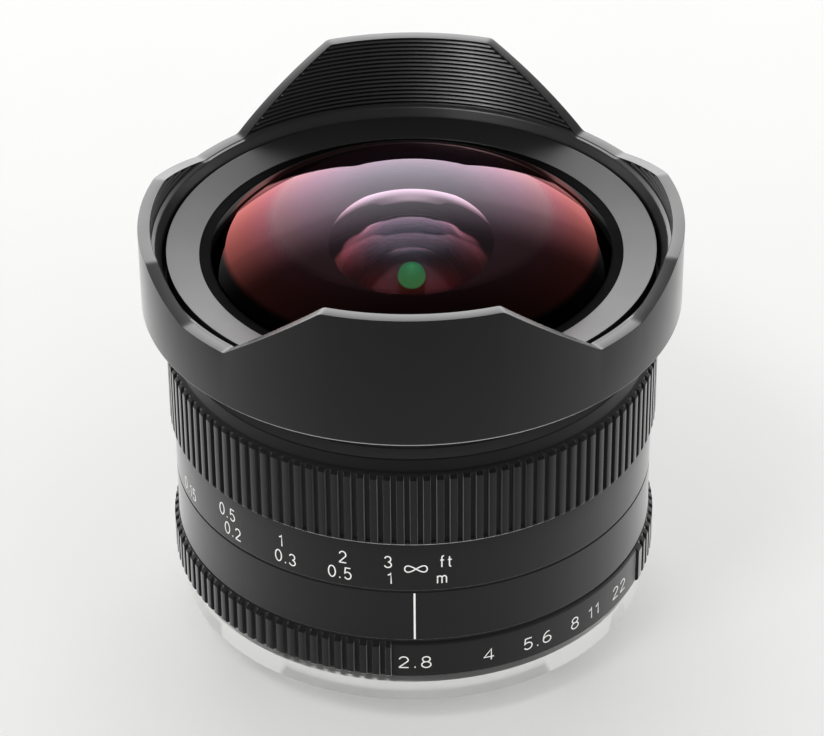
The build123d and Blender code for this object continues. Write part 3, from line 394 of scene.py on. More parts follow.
def mirrorGlass(name, ior, stops):
    # A surface further in, whose reflection is tinted by its coating: blue-green in the middle
    # and orange-red towards its rim. It gives the second image in the dome.
    material, tree, surface, coords = newMaterial(name, {**clearGlass, "IOR": ior})
    colour = addRadiusRamp(tree, coords, stops)
    tree.links.new(colour.outputs[0], surface.inputs["Specular Tint"])
    return material


# Coating colours by the distance from the axis in mm
frontSkin = [(0.0, "#efe7f3"), (5.0, "#efe7f3"), (9.6, "#fbe6f6"), (13.0, "#ffdcee"),
             (16.6, "#ffcfd8"), (18.0, "#ffaebc"), (20.0, "#ffa0a0"), (22.6, "#ff9c92"),
             (23.3, "#30100c"), (24.4, "#200a08")]
rearMirror = [(0.0, "#7fd0d0"), (3.0, "#7fd0d0"), (4.6, "#a06a70"), (6.5, "#ff4a28"),
              (8.3, "#ff4a18")]
secondMirror = [(0.0, "#9fd8d0"), (4.0, "#9fd8d0"), (7.0, "#ff5a40"), (12.4, "#ff4418")]
frontCoating = coatedGlass("coatedFrontGlass", 1.65, frontSkin, opaqueFrom=17.5)
frontRearCoating = mirrorGlass("coatedFrontGlassRear", 1.40, rearMirror)
secondCoating = mirrorGlass("coatedSecondGlass", 1.5, secondMirror)
innerCoating = coatedGlass("coatedInnerGlass", 1.7)

# Painted reflection: a green metal that glows, for the green light of the coatings round the iris
# opening
pupilPaintedReflection = newMaterial("greenPupilPaintedReflection", {
    "Base Color": toLinear("#1f8a4e"), "Metallic": 1.0, "Roughness": 0.25,
    "Emission Color": toLinear("#149a52"), "Emission Strength": 0.6})[0]

# The third glass closes the view: drawn opaque black, painted shade for the dark depth of the lens,
# so that no stray light comes back
thirdGlassPaintedShade = newMaterial("innerGlassPaintedShade", {
    "Base Color": toLinear("#020303"), "IOR": 1.3, "Roughness": 0.02})[0]


def paintedGlowEdge(stops):
    # Ground edge of the front glass, left unpainted: frosted and pale. It glows though it is no
    # lamp: a painted glow for the light it gathers inside the glass, which shows in the dome as a
    # bright arc that fades upwards. stops are (height in mm, glow strength), the strongest first.
    material, tree, surface, coords = newMaterial("groundGlassEdgePaintedGlow", {
        "Base Color": toLinear("#e2d6d6"), "Roughness": 0.75,
        "Emission Color": toLinear("#fbe6ec")})
    parts = addNode(tree, "ShaderNodeSeparateXYZ", None, {0: (coords, "Object")})
    low, high, brightest = stops[0][0], stops[-1][0], stops[0][1]
    share = addRange(tree, (parts, 2), (low + seatHeight) * mm, (high + seatHeight) * mm)
    ramp = addRamp(tree, [((height - low) / (high - low), glow / brightest)
                          for height, glow in stops], (share, 0))
    strength = addMath(tree, "MULTIPLY", (ramp, 0), brightest)
    tree.links.new(strength.outputs[0], surface.inputs["Emission Strength"])
    return material


# The edge's emission is painted light, strongest at the seat and gone at the shoulder
groundEdgePaintedGlow = paintedGlowEdge([(41.8, 1.4), (42.8, 1.1), (44.4, 0.6), (45.6, 0.15), (46.6, 0.0)])

# The CAD nodes that stay get their finish by slot
finishes = {"chrome_mount": chrome, "steel_screws": brightSteel, "black_screws": blackSteel,
            "black_plastic": blackPlastic, "black_anodised": innerAnodised,
            "grey_anodised": ringAnodised, "black_paint": bafflePaint, "brass_thread": brass,
            "coated_glass": innerCoating, "blade_steel": bladeSteel}
for node in nodes.values():
    for holder in node.material_slots:
        slotName = holder.material.name.split(".")[0] if holder.material else ""
        if slotName in finishes:
            holder.material = finishes[slotName]
# The third glass gets the painted shade
for holder in nodes["third_glass"].material_slots:
    holder.material = thirdGlassPaintedShade
print("materials made")


# Mount flange

flange = {"sharpDegrees": 25, "mergeBelow": 0.0005}
place(smoothCopy("bayonetFlange", "mount_flange", flange["sharpDegrees"], flange["mergeBelow"]),
      "barrel", "chrome_mount", chrome, ["mount_flange"])

# Ribbed rings

# side is one side of a groove: (mm beyond its half width, share of its depth)
ribs = {"count": 120, "grooveWidth": 0.72, "depth": 0.5,
        "side": [(0.045, 0.0), (0.012, 0.025), (0.0, 0.12), (-0.008, 0.9), (-0.04, 1.0)]}
unlimited = 1e3


def ribColumns(grooves, radius, shape):
    # Round each groove centre: offsets across the groove in mm, turned to bearings, with the
    # share of the groove's depth that the surface has there
    offset, share = np.array(shape).T
    bearing = grooves[:, None] + np.degrees(offset[None, :] / radius)
    return bearing.reshape(-1), np.tile(share, len(grooves))


def grooveShape(r):
    # Across one groove: rounded rib edge, steep wall, small corner, flat floor
    side = [(r["grooveWidth"] / 2 + beyond, share) for beyond, share in r["side"]]
    return [(-u, w) for u, w in side] + [(u, w) for u, w in reversed(side)]


def ribbedPiece(name, outline, floorRadius, grooves, lowest, highest, flat=None):
    # radius(row, column) = outline's radius less share * (that radius - floor radius), where
    # the row lies between the groove's ends; flat is a smooth zone between two bearings, with
    # a radius of its own, a step at each end and a number of columns
    bearing, share = ribColumns(grooves, floorRadius, grooveShape(ribs))
    limit = np.full(len(bearing), unlimited)
    if flat:
        start, end, radius, step, columns = flat
        ends = np.array([start - step, start, end, end + step])
        inside = np.linspace(start, end, columns)[1:-1]
        bearing = np.concatenate([bearing, ends, inside])
        share = np.concatenate([share, np.zeros(len(ends) + len(inside))])
        limit = np.concatenate([limit, [unlimited, radius, radius, unlimited],
                                np.full(len(inside), radius)])
    order = np.argsort(bearing)
    bearing, share, limit = bearing[order], share[order], limit[order]
    r, z = outline[:, None, 0], outline[:, None, 1]
    cut = np.where((z > lowest) & (z < highest), np.maximum(r - floorRadius, 0), 0)
    radius = np.minimum(r - share[None, :] * cut, limit[None, :])
    return gridPiece(name, wrapped(radius, z, bearing[None, :]))


apertureRing = {"outer": 30.5, "bore": 27.05, "bottom": 4.22, "top": 9.4, "chamferHeight": 0.55,
                "chamferWidth": 0.6, "footChamfer": 0.25, "scaleFrom": -5.5, "scaleTo": 67.5,
                "scaleRadius": 30.1, "scaleStep": 0.02, "scaleColumns": 38, "edge": 0.05}


def buildApertureRing(a):
    outline = roundedOutline([
        (a["bore"], a["bottom"], 0), (a["outer"] - a["footChamfer"], a["bottom"], a["edge"]),
        (a["outer"], a["bottom"] + a["footChamfer"], a["edge"]),
        (a["outer"], a["top"] - a["chamferHeight"], a["edge"]),
        (a["outer"] - a["chamferWidth"], a["top"], a["edge"]), (a["bore"], a["top"], 0)])
    pitch = 360 / ribs["count"]
    grooves = (np.arange(ribs["count"]) + 0.5) * pitch
    beyond = (grooves > a["scaleTo"] + pitch / 2) & (grooves - 360 < a["scaleFrom"] - pitch / 2)
    return ribbedPiece("apertureRingBody", outline, a["outer"] - ribs["depth"], grooves[beyond],
                       a["bottom"] - 1, a["top"] + 1,
                       (a["scaleFrom"], a["scaleTo"], a["scaleRadius"], a["scaleStep"],
                        a["scaleColumns"]))


place(buildApertureRing(apertureRing), "aperture_ring", "black_anodised", blackAnodised,
      ["aperture_ring"])

focusRing = {"bore": 27.93, "lipBore": 26.73, "lipHeight": 35.4, "bottom": 17.2, "top": 36.04,
             "bandRadius": 29.9, "gripRadius": 30.42, "gripBottom": 24.24, "gripTop": 33.9,
             "bottomChamfer": 0.3, "topChamfer": 0.32, "coneTop": 34.4, "coneRadius": 29.4,
             "topRadius": 29.1, "land": 0.25, "edge": 0.05, "bandEdge": 0.08, "bandCorner": 0.03,
             "coneEdge": 0.16, "topEdge": 0.12, "landStep": 0.01}


def buildFocusRing(f):
    landTop = f["gripBottom"] + f["land"]
    outline = roundedOutline([
        (f["bore"], f["bottom"], 0), (f["bandRadius"], f["bottom"], f["bandEdge"]),
        (f["bandRadius"], f["gripBottom"], f["bandCorner"]),
        (f["gripRadius"] - f["bottomChamfer"], f["gripBottom"], f["edge"]),
        (f["gripRadius"], f["gripBottom"] + f["bottomChamfer"], f["edge"]),
        (f["gripRadius"], f["gripTop"], f["edge"]),
        (f["gripRadius"] - f["topChamfer"], f["gripTop"] + f["topChamfer"], f["edge"]),
        (f["coneRadius"], f["coneTop"], f["coneEdge"]), (f["topRadius"], f["top"], f["topEdge"]),
        (f["lipBore"], f["top"], f["edge"]), (f["lipBore"], f["lipHeight"], 0),
        (f["bore"], f["lipHeight"], 0)])
    # Two more points on the lower chamfer, where the grooves end in a land
    step = f["landStep"]
    chamferRadius = f["gripRadius"] - f["bottomChamfer"] + f["land"]
    extra = np.array([(chamferRadius, landTop - step), (chamferRadius + step, landTop + step)])
    onGrip = outline[:, 0] > f["bandRadius"] + f["bandEdge"]
    at = int(np.argmax((outline[:, 1] > landTop) & onGrip))
    outline = np.concatenate([outline[:at], extra, outline[at:]])
    grooves = (np.arange(ribs["count"]) + 0.5) * 360 / ribs["count"]
    return ribbedPiece("focusRingBody", outline, f["gripRadius"] - ribs["depth"], grooves,
                       landTop, f["coneTop"])


place(buildFocusRing(focusRing), "focus_ring", "black_anodised", blackAnodised,
      ["focus_grip_ring"])

# Smooth rings

indexRing = {"outer": 29.9, "bore": 27.03, "lipBore": 24.93, "lipBottom": 15.5, "bottom": 9.66,
             "top": 16.95, "edge": 0.09}


def buildIndexRing(i):
    return turnedPiece("indexRingBody", roundedOutline([
        (i["bore"], i["bottom"], 0), (i["outer"], i["bottom"], i["edge"]),
        (i["outer"], i["top"], i["edge"]), (i["lipBore"], i["top"], 0),
        (i["lipBore"], i["lipBottom"], 0), (i["bore"], i["lipBottom"], 0)]))


place(buildIndexRing(indexRing), "barrel", "black_anodised", blackAnodised, ["index_ring"])

neck = {"bore": 17.4, "radius": 27.5, "bottom": 36.4, "shoulder": 40.74, "seatRadius": 26.75,
        "wallTop": 46.1, "wallBore": 25.1, "glassSeat": 41.8, "edge": 0.08, "corner": 0.02}


def buildNeck(n):
    return turnedPiece("frontNeck", roundedOutline([
        (n["bore"], n["bottom"], 0), (n["radius"], n["bottom"], n["edge"]),
        (n["radius"], n["shoulder"], n["corner"]), (n["seatRadius"], n["shoulder"], 0),
        (n["seatRadius"], n["wallTop"], n["edge"]), (n["wallBore"], n["wallTop"], n["edge"]),
        (n["wallBore"], n["glassSeat"], 0), (n["bore"], n["glassSeat"], 0)]))


place(buildNeck(neck), "optical_unit", "black_anodised", innerAnodised, ["front_barrel"])

nameRing = {"bore": 26.78, "bottom": 42.74, "outer": 29.89, "outerTop": 47.65, "innerTop": 46.93,
            "lipBore": 25.84, "lip": 0.7, "edge": 0.07}


def buildNameRing(n):
    return turnedPiece("nameRingBlank", roundedOutline([
        (n["bore"], n["bottom"], 0), (n["outer"], n["bottom"], 0),
        (n["outer"], n["outerTop"], n["edge"]), (n["lipBore"], n["innerTop"], n["edge"]),
        (n["lipBore"], n["innerTop"] - n["lip"], 0), (n["bore"], n["innerTop"] - n["lip"], 0)]))


place(buildNameRing(nameRing), "optical_unit", "grey_anodised", ringAnodised, ["name_ring"])

bezel = {"outer": 25.07, "foot": 42.1, "flangeEdge": 25.81, "flangeBottom": 46.13, "top": 46.85,
         "chamfer": 0.12, "lipBore": 24.43, "play": 0.03, "edge": 0.03}
# between is a height that parts the front and rear surfaces, swell is described in lensPiece
frontGlass = {"vertex": 55.56, "sphere": 39.7, "clear": 24.4, "edge": 24.7, "shoulder": 46.6,
              "seat": 41.8, "backSphere": 15.75, "backClear": 8.3, "between": 45.6,
              "swell": (7.5, 5.0, 1.2), "columns": 240, "rows": 56}
faceSlack = 0.02  # reach in mm when faces are picked out by their place
swellSteps = 400


def sphereHeight(vertex, sphere, radius):
    # Height of a spherical surface at that radius: vertex - sphere + sqrt(sphere^2 - radius^2),
    # mirrored for a hollow one (negative sphere)
    return vertex - sphere + np.sign(sphere) * np.sqrt(sphere ** 2 - radius ** 2)


def buildBezel(b, g):
    bore = g["edge"] + b["play"]
    return turnedPiece("blackGlassBezel", roundedOutline([
        (bore, b["foot"], 0), (b["outer"], b["foot"], 0), (b["outer"], b["flangeBottom"], 0),
        (b["flangeEdge"], b["flangeBottom"], 0), (b["flangeEdge"], b["top"], b["edge"]),
        (b["lipBore"] + b["chamfer"], b["top"], b["edge"]),
        (b["lipBore"], b["top"] - b["chamfer"], b["edge"]), (b["lipBore"], g["shoulder"], 0),
        (bore, g["shoulder"], 0)]))


def finishBezel(piece, b):
    # The lip's chamfer gets the lighter name-ring anodising, which paints a bright line on it:
    # material 1 where a face's middle is within its width
    radius, height = facePlaces(piece)
    setMaterialNumbers(piece, (radius < b["lipBore"] + b["chamfer"])
                       & (height > b["top"] - b["chamfer"]))


finishBezel(place(buildBezel(bezel, frontGlass), "optical_unit", "black_anodised",
                  [bezelLacquer, ringAnodised], ["glass_bezel"]), bezel)


def lensPiece(name, front, rim, back, columns, rows, swell=None):
    # front and back are (vertex, sphere, clear radius), rim the corners between them: half the
    # outline runs along the front surface from the axis, over the rim, and back along the rear
    # surface; radii grow as sin(angle), so that the faces stay even towards the rim. swell
    # (degrees, radius, width) steepens the rear surface there by degrees * exp(-d^2)
    def curve(vertex, sphere, clear):
        radius = np.sin(np.linspace(0, 1, rows) * np.pi / 2) * clear
        return np.stack([radius, sphereHeight(vertex, sphere, radius)], -1)
    rear = curve(*back)
    if swell:
        degrees, middle, width = swell
        fine = np.linspace(0, back[2], swellSteps)
        slope = np.tan(np.radians(degrees)) * np.exp(-((fine - middle) / width) ** 2)
        drop = np.cumsum(slope) * (fine[1] - fine[0])
        rear[:, 1] += drop[-1] - np.interp(rear[:, 0], fine, drop)
    outline = np.concatenate([curve(*front), np.array(rim), rear[::-1]])
    return turnedPiece(name, outline, columns, closeRows=False)


def finishGlass(piece, g):
    # Material numbers by place: 0 on the front surface, 1 on the flat painted rim, 2 on the
    # edge, 3 on the rear surface
    radius, height = facePlaces(piece)
    kind = np.where(radius > g["edge"] - faceSlack, 2, 1)
    kind[(radius < g["backClear"]) & (height < g["between"])] = 3
    kind[(radius < g["clear"]) & (height > g["between"])] = 0
    setMaterialNumbers(piece, kind)


def surfaces(g):
    # (vertex, sphere, clear radius) of the front, and of the rear, whose flat rim lies on the
    # seat: vertex = seat + sphere - sqrt(sphere^2 - radius^2)
    sphere, clear = g["backSphere"], g["backClear"]
    vertex = g["seat"] + sphere - np.sign(sphere) * np.sqrt(sphere ** 2 - clear ** 2)
    return (g["vertex"], g["sphere"], g["clear"]), (vertex, sphere, clear)


def buildFrontGlass(g):
    front, back = surfaces(g)
    rim = [(g["clear"], g["shoulder"]), (g["edge"], g["shoulder"]), (g["edge"], g["seat"])]
    piece = lensPiece("frontGlassDome", front, rim, back, g["columns"], g["rows"], g["swell"])
    # Material 2, on the edge, is the painted glow
    place(piece, "optical_unit", "coated_glass",
          [frontCoating, bafflePaint, groundEdgePaintedGlow, frontRearCoating], ["front_glass"])
    finishGlass(piece, g)


buildFrontGlass(frontGlass)

secondGlass = {"vertex": 42.8, "sphere": 26.0, "clear": 12.4, "edge": 13.6, "seat": 35.6,
               "backSphere": 7.2, "backClear": 6.9, "between": 39.5, "columns": 180, "rows": 40}


def buildSecondGlass(g):
    front, back = surfaces(g)
    rim = [(g["edge"], float(sphereHeight(*front))), (g["edge"], g["seat"])]
    piece = lensPiece("secondGlassMeniscus", front, rim, back, g["columns"], g["rows"])
    place(piece, "optical_unit", "coated_glass",
          [secondCoating, bafflePaint, bafflePaint, secondCoating], ["second_glass"])
    finishGlass(piece, g)


buildSecondGlass(secondGlass)

# The glasses make a small round green image of the iris opening, which looks round from all
# sides. A glowing green ball stands in for it: a painted reflection.
pupil = {"radius": 1.9, "height": 35.4, "columns": 48, "rows": 25}


def buildPupil(p):
    # (R sin a, height - R cos a), a from 0 to 180 degrees
    a = np.linspace(0, np.pi, p["rows"])
    outline = np.stack([p["radius"] * np.sin(a), p["height"] - p["radius"] * np.cos(a)], -1)
    piece = turnedPiece("irisPaintedReflectionBall", outline, p["columns"], closeRows=False)
    place(piece, "optical_unit", "coated_glass", pupilPaintedReflection)


buildPupil(pupil)
print("rings and glasses made")

# Petal hood

# corners are (bearing, height) in the quarter from the front to the side. bend rounds the rim's
# two edges, in shares of edge; grooveShape is (share of the depth, share of the pitch) down one
# groove; lead is a short way up from a corner; rimSlope parts faces that look up, which get the
# painted light, from the rest.
hood = {"outer": 33.2, "bore": 26.78, "lowerBore": 30.4, "wall": 31.66, "bottom": 40.74,
        "plateTop": 42.74, "bottomChamfer": 0.35, "chamferBend": 0.02, "ledgeRadius": 31.2,
        "ledgeBottom": 47.2, "ledgeTop": 48.36, "grooveFrom": 48.62, "groovePitch": 0.58,
        "grooveDepth": 0.22, "lead": 0.1, "tip": 58.27, "valley": 48.46, "sideCrest": 51.2,
        "corners": [(18.4, "tip"), (41.6, "valley"), (54.5, "valley"), (73.0, "sideCrest")],
        "cornerBlend": 0.5, "blendSteps": 9, "rimSlope": 0.5, "columns": 720, "edge": 0.07,
        "ledgeEdge": 0.12, "boreEdge": 0.2, "footEdge": 0.05,
        "bend": [(0, -1), (0.12, -0.35), (0.35, -0.12), (1, 0)],
        "grooveShape": [(0.0, -0.08), (0.85, -0.4), (1.0, -0.5), (0.85, -0.6), (0.0, -0.92)]}


def rimHeight(h, bearing):
    # The rim is straight between its corners, alike in all four quarters; each corner is
    # blended over a few tenths of a degree by averaging nearby bearings
    knots = np.array([0] + [b for b, _ in h["corners"]] + [90])
    heights = np.array([h["tip"]] + [h[key] for _, key in h["corners"]] + [h["sideCrest"]])
    near = bearing[:, None] + np.linspace(-1, 1, h["blendSteps"]) * h["cornerBlend"]
    folded = np.abs((near + 90) % 180 - 90)
    return np.interp(folded, knots, heights).mean(1)


def buildHood(h):
    # Each column is one outline: up the outer wall, over the rim, down the grooved inside,
    # over the ledge to the plate. Rows above the rim are pulled down to it and merged.
    bearing = np.arange(h["columns"]) * 360 / h["columns"]
    rim = rimHeight(h, bearing)[None, :]
    e, small = h["edge"], h["chamferBend"]
    bend = np.array(h["bend"]) * e
    chamferTop, chamferFoot = h["bottom"] + h["bottomChamfer"], h["outer"] - h["bottomChamfer"]
    outerRows = [(h["bore"], h["bottom"]), (chamferFoot - e, h["bottom"]),
                 (chamferFoot, h["bottom"] + small), (h["outer"] - small, chamferTop),
                 (h["outer"], chamferTop + e), (h["outer"], chamferTop + 3 * e)]
    outerBend = [(h["outer"] - x, z) for x, z in bend]
    innerBend = [(h["wall"] + x, z) for x, z in bend[::-1]]
    pitch, shape = h["groovePitch"], np.array(h["grooveShape"])
    starts = np.arange(h["tip"], h["grooveFrom"] + pitch / 2, -pitch)
    grooveR = np.tile(h["wall"] + h["grooveDepth"] * shape[:, 0], len(starts))
    grooveZ = (starts[:, None] + pitch * shape[None, :, 1]).reshape(-1)
    # The first corner only leads in from the grooves, so its six points are left out
    innerRows = roundedOutline([
        (h["wall"], h["grooveFrom"] + h["lead"], 0), (h["wall"], h["grooveFrom"], h["footEdge"]),
        (h["ledgeRadius"], h["ledgeTop"], h["ledgeEdge"]),
        (h["lowerBore"], h["ledgeBottom"], h["boreEdge"]),
        (h["lowerBore"], h["plateTop"], h["footEdge"]),
        (h["bore"], h["plateTop"], h["footEdge"])])[6:]
    one = np.ones_like(rim)
    rows = [(r * one, z * one) for r, z in outerRows]
    rows += [(r * one, rim + z) for r, z in outerBend + innerBend]
    floorLine = rim - e
    for r, z in list(zip(grooveR, grooveZ)) + innerRows.tolist():
        below = z < floorLine
        rows.append((np.where(below, r, h["wall"]), np.where(below, z, floorLine)))
    radius = np.concatenate([r for r, _ in rows])
    height = np.concatenate([z for _, z in rows])
    return gridPiece("petalHood", wrapped(radius, height, bearing[None, :]))


def finishHood(piece, h):
    # Material 1, the lighter copy that paints light, on the rim, whose faces look up, and on the
    # ledge and bore below the grooves; material 2, the darker copy that paints shade, on the
    # grooved inside
    radius, height = facePlaces(piece)
    facesUp = faceValues(piece, "normal")[:, 2] > h["rimSlope"]
    rim = (radius > h["wall"] + h["edge"]) & facesUp & (height > h["plateTop"])
    ledge = ((radius < h["wall"] + faceSlack) & (height < h["grooveFrom"] + faceSlack)
             & (height > h["plateTop"] + h["lead"]))
    inside = (radius < h["wall"] + h["grooveDepth"] + faceSlack) & ~ledge & ~rim
    setMaterialNumbers(piece, np.select([rim | ledge, inside], [1, 2], 0))


finishHood(place(buildHood(hood), "optical_unit", "black_anodised",
                 [blackAnodised, rimAndLedgePaintedLight, hoodInsidePaintedShade], ["hood"]), hood)
print("hood made")

# Figures and index line

# stretchLimit keeps the ribbon's corners from running out at sharp bends
figure = {"height": 1.8, "line": 0.16, "raise": 0.02, "sink": 0.03, "stretchLimit": 0.6}


def arc(cx, cy, rx, ry, start, end, steps):
    # (cx + rx cos a, cy + ry sin a), a in degrees from start to end
    a = np.radians(np.linspace(start, end, steps))
    return np.stack([cx + rx * np.cos(a), cy + ry * np.sin(a)], -1)


def path(*parts):
    return np.concatenate([np.atleast_2d(np.array(p, float)) for p in parts])


def figureEight(cx, cy, rx, ry, steps=49):
    # (cx + rx cos a, cy + ry sin 2a)
    a = np.linspace(0, 2 * np.pi, steps)
    return np.stack([cx + rx * np.cos(a), cy + ry * np.sin(2 * a)], -1)


# Single-line figures on a field 1 high: width and strokes
glyphs = {
    "0": (0.56, [arc(0.28, 0.5, 0.24, 0.46, 90, 450, 32)]),
    "1": (0.34, [path([(0.04, 0.74)], arc(0.04, 0.96, 0.2, 0.2, -80, -10, 6), [(0.25, 0.04)])]),
    "2": (0.56, [path(arc(0.28, 0.7, 0.22, 0.26, 170, -28, 16),
                      [(0.06, 0.08), (0.06, 0.04), (0.52, 0.04)])]),
    "3": (0.56, [path(arc(0.27, 0.73, 0.2, 0.23, 165, -90, 14)),
                 path(arc(0.27, 0.27, 0.23, 0.23, 90, -165, 16))]),
    "4": (0.58, [path([(0.42, 0.04), (0.42, 0.94), (0.04, 0.3), (0.56, 0.3)])]),
    "5": (0.56, [path([(0.48, 0.96), (0.13, 0.96), (0.09, 0.5)],
                      arc(0.28, 0.33, 0.23, 0.29, 145, -150, 18))]),
    "6": (0.56, [arc(0.28, 0.31, 0.23, 0.27, 0, 360, 26),
                 path(arc(0.36, 0.38, 0.31, 0.58, 190, 80, 12))]),
    "8": (0.56, [arc(0.28, 0.74, 0.19, 0.22, 0, 360, 24), arc(0.28, 0.28, 0.23, 0.25, 0, 360, 24)]),
    ".": (0.2, [path([(0.1, 0.03), (0.1, 0.13)])]),
    "f": (0.34, [path(arc(0.27, 0.82, 0.12, 0.14, 80, 180, 8), [(0.15, 0.04)]),
                 path([(0.04, 0.62), (0.3, 0.62)])]),
    "t": (0.34, [path([(0.15, 0.88), (0.15, 0.18)], arc(0.25, 0.16, 0.1, 0.12, 180, 280, 7)),
                 path([(0.04, 0.62), (0.3, 0.62)])]),
    "m": (0.76, [path([(0.07, 0.66), (0.07, 0.04)]),
                 path([(0.07, 0.4)], arc(0.22, 0.44, 0.15, 0.2, 180, 0, 12), [(0.37, 0.04)]),
                 path([(0.37, 0.4)], arc(0.52, 0.44, 0.15, 0.2, 180, 0, 12), [(0.67, 0.04)])]),
    "~": (1.6, [figureEight(0.8, 0.5, 0.75, 0.26)]),
}


def ribbonMesh(line, width, radius, bearing, height, scale):
    # A flat ribbon along the line: its side points are P +- width/2 * N, N the normal averaged
    # at each bend, wrapped on the cylinder and given a thickness from sink to raise
    closed = np.allclose(line[0], line[-1])
    step = np.diff(line, axis=0)
    step = step / np.linalg.norm(step, axis=1, keepdims=True)
    first = step[-1:] if closed else step[:1]
    last = step[:1] if closed else step[-1:]
    before, after = np.concatenate([first, step]), np.concatenate([step, last])
    mean = before + after
    mean = mean / np.linalg.norm(mean, axis=1, keepdims=True)
    stretch = 1 / np.clip((mean * before).sum(1), figure["stretchLimit"], 1)
    normal = np.stack([-mean[:, 1], mean[:, 0]], -1) * (stretch * width / 2)[:, None]
    inner, outer = line * scale - normal, line * scale + normal
    low, high = radius - figure["sink"], radius + figure["raise"]
    corners = [(inner, low), (inner, high), (outer, high), (outer, low)]
    rows = np.stack([wrapped(r, height + p[:, 1], bearing + np.degrees(p[:, 0] / radius))
                     for p, r in corners], 1)
    if not closed:
        caps = rows[[0, -1]].mean(1, keepdims=True) + 0 * rows[[0, -1]]
        rows = np.concatenate([caps[:1], rows, caps[1:]])
    return rows


def engraved(name, words, body, radius, stretch, space):
    # words are (text, bearing of its middle, height of its foot); stretch widens the figures,
    # space is the gap between them, both as shares of the figures' height
    pieces = []
    for text, bearing, height in words:
        total = sum(glyphs[c][0] * stretch + space for c in text) - space
        x = -total / 2
        for c in text:
            for line in glyphs[c][1]:
                pieces.append(ribbonMesh(line * (stretch, 1) + (x, 0), figure["line"], radius,
                                         bearing, height, figure["height"]))
            x += glyphs[c][0] * stretch + space
    points, faces, start = [], [], 0
    for rows in pieces:
        faces.append(gridCells(rows.shape[0], 4, False) + start)
        points.append(rows.reshape(-1, 3))
        start += rows.shape[0] * 4
    piece = meshPiece(name, np.concatenate(points), np.concatenate(faces))
    return place(piece, body, "black_anodised", whitePaint)


# Each row of marks is (height of its foot, [(text, bearing)]); ~ draws the infinity sign
focusFigures = {"radius": 29.9, "stretch": 1.0, "space": 0.17, "rows": {
    "feet": (20.56, [("0.5", -49.4), ("1", -32.4), ("2", -16.6), ("3", -6.0), ("ft", 7.3)]),
    "metres": (18.15, [("0.15", -67.7), ("0.2", -47.6), ("0.3", -31.3), ("0.5", -17.4),
                       ("1", -5.6), ("m", 6.4)]),
    "infinity": (19.59, [("~", 0.4)])}}
apertureFigures = {"radius": 30.1, "stretch": 1.35, "space": 0.25, "rows": {
    "stops": (5.45, [("2.8", 0.0), ("4", 17.4), ("5.6", 30.0), ("8", 41.0), ("11", 47.5),
                     ("22", 58.0)])}}
for name, body, f in (("focusFigures", "focus_ring", focusFigures),
                      ("apertureFigures", "aperture_ring", apertureFigures)):
    words = [(mark, bearing, foot) for foot, marks in f["rows"].values() for mark, bearing in marks]
    engraved(name, words, body, f["radius"], f["stretch"], f["space"])

indexLine = {"radius": 29.9, "bottom": 9.8, "top": 16.8, "width": 0.24}


def buildIndexLine(i):
    line = np.array([(0.0, 0.0), (0.0, i["top"] - i["bottom"])])
    rows = ribbonMesh(line, i["width"], i["radius"], 0.0, i["bottom"], 1.0)
    return gridPiece("indexLineMark", rows, closeRows=False)


place(buildIndexLine(indexLine), "barrel", "black_anodised", whitePaint)
print("figures made")


# Floor, light and camera

floor = {"radius": 3.0, "rings": 14, "columns": 96, "clouds": 25, "roughness": 0.8, "ior": 1.3,
         "colours": ("#f4f4f3", "#f6f6f5")}


def buildFloor(f):
    # A flat disc: rings of radius R * (i / n) ^ 3 metres, closed by a fan round the middle
    radius = f["radius"] * (np.arange(1, f["rings"] + 1) / f["rings"]) ** 3 / mm
    bearing = np.arange(f["columns"]) * 360 / f["columns"]
    points = wrapped(radius[:, None], -seatHeight, bearing[None, :]).reshape(-1, 3)
    points = np.concatenate([points, wrapped(0.0, -seatHeight, 0.0)[None, :]])
    rings = gridCells(f["rings"], f["columns"], False)
    first = np.arange(f["columns"])
    fan = np.stack([first, (first + 1) % f["columns"], np.full(f["columns"], len(points) - 1)], -1)
    mesh = bpy.data.meshes.new("studioFloor")
    mesh.from_pydata((points * mm).tolist(), [], fan.tolist() + rings.tolist())
    shell = bmesh.new()
    shell.from_mesh(mesh)
    bmesh.ops.recalc_face_normals(shell, faces=shell.faces)
    if sum(face.normal.z for face in shell.faces) < 0:
        bmesh.ops.reverse_faces(shell, faces=shell.faces)
    shell.to_mesh(mesh)
    shell.free()
    piece = bpy.data.objects.new("studioFloor", mesh)
    bpy.context.scene.collection.objects.link(piece)
    # Matt studio paper, off-white with faint clouds of that size in mm
    material, tree, surface, coords = newMaterial("paleStudioSheet", {
        "Roughness": f["roughness"], "IOR": f["ior"]})
    clouds = addNode(tree, "ShaderNodeTexNoise", {"Scale": 1 / (f["clouds"] * mm), "Detail": 2.0},
                     {"Vector": (coords, "Object")})
    tone = addMix(tree, *f["colours"], (clouds, 0))
    tree.links.new(tone.outputs[2], surface.inputs["Base Color"])
    mesh.materials.append(material)


buildFloor(floor)

# Radiances of the room. back is (direction, radiance): the direction's share towards the back,
# turned a little to the left. side is a band round the horizon, top an opening overhead.
studio = {"turn": 7.0, "peak": 4.0, "side": 2.4, "sideTop": (0.1, 0.3), "sideFront": (-0.85, -0.4),
          "top": 0.5, "topFrom": (0.7, 0.9), "fillHorizon": 1.7, "fillZenith": 0.4,
          "back": [(0.0, 0.05), (0.5, 0.17), (0.55, 0.25), (0.6, 0.45), (0.65, 0.72), (0.69, 1.0),
                   (0.74, 1.3), (0.78, 1.8), (0.87, 2.35), (0.95, 2.75)]}


def addGlow(tree, strength):
    return addNode(tree, "ShaderNodeBackground", {"Color": (1, 1, 1, 1)},
                   {"Strength": (strength, 0)})


def addChoice(tree, question, no, yes):
    # Shader yes for rays of that kind, else no
    ray = addNode(tree, "ShaderNodeLightPath")
    return addNode(tree, "ShaderNodeMixShader", None, {0: (ray, question), 1: (no, 0), 2: (yes, 0)})


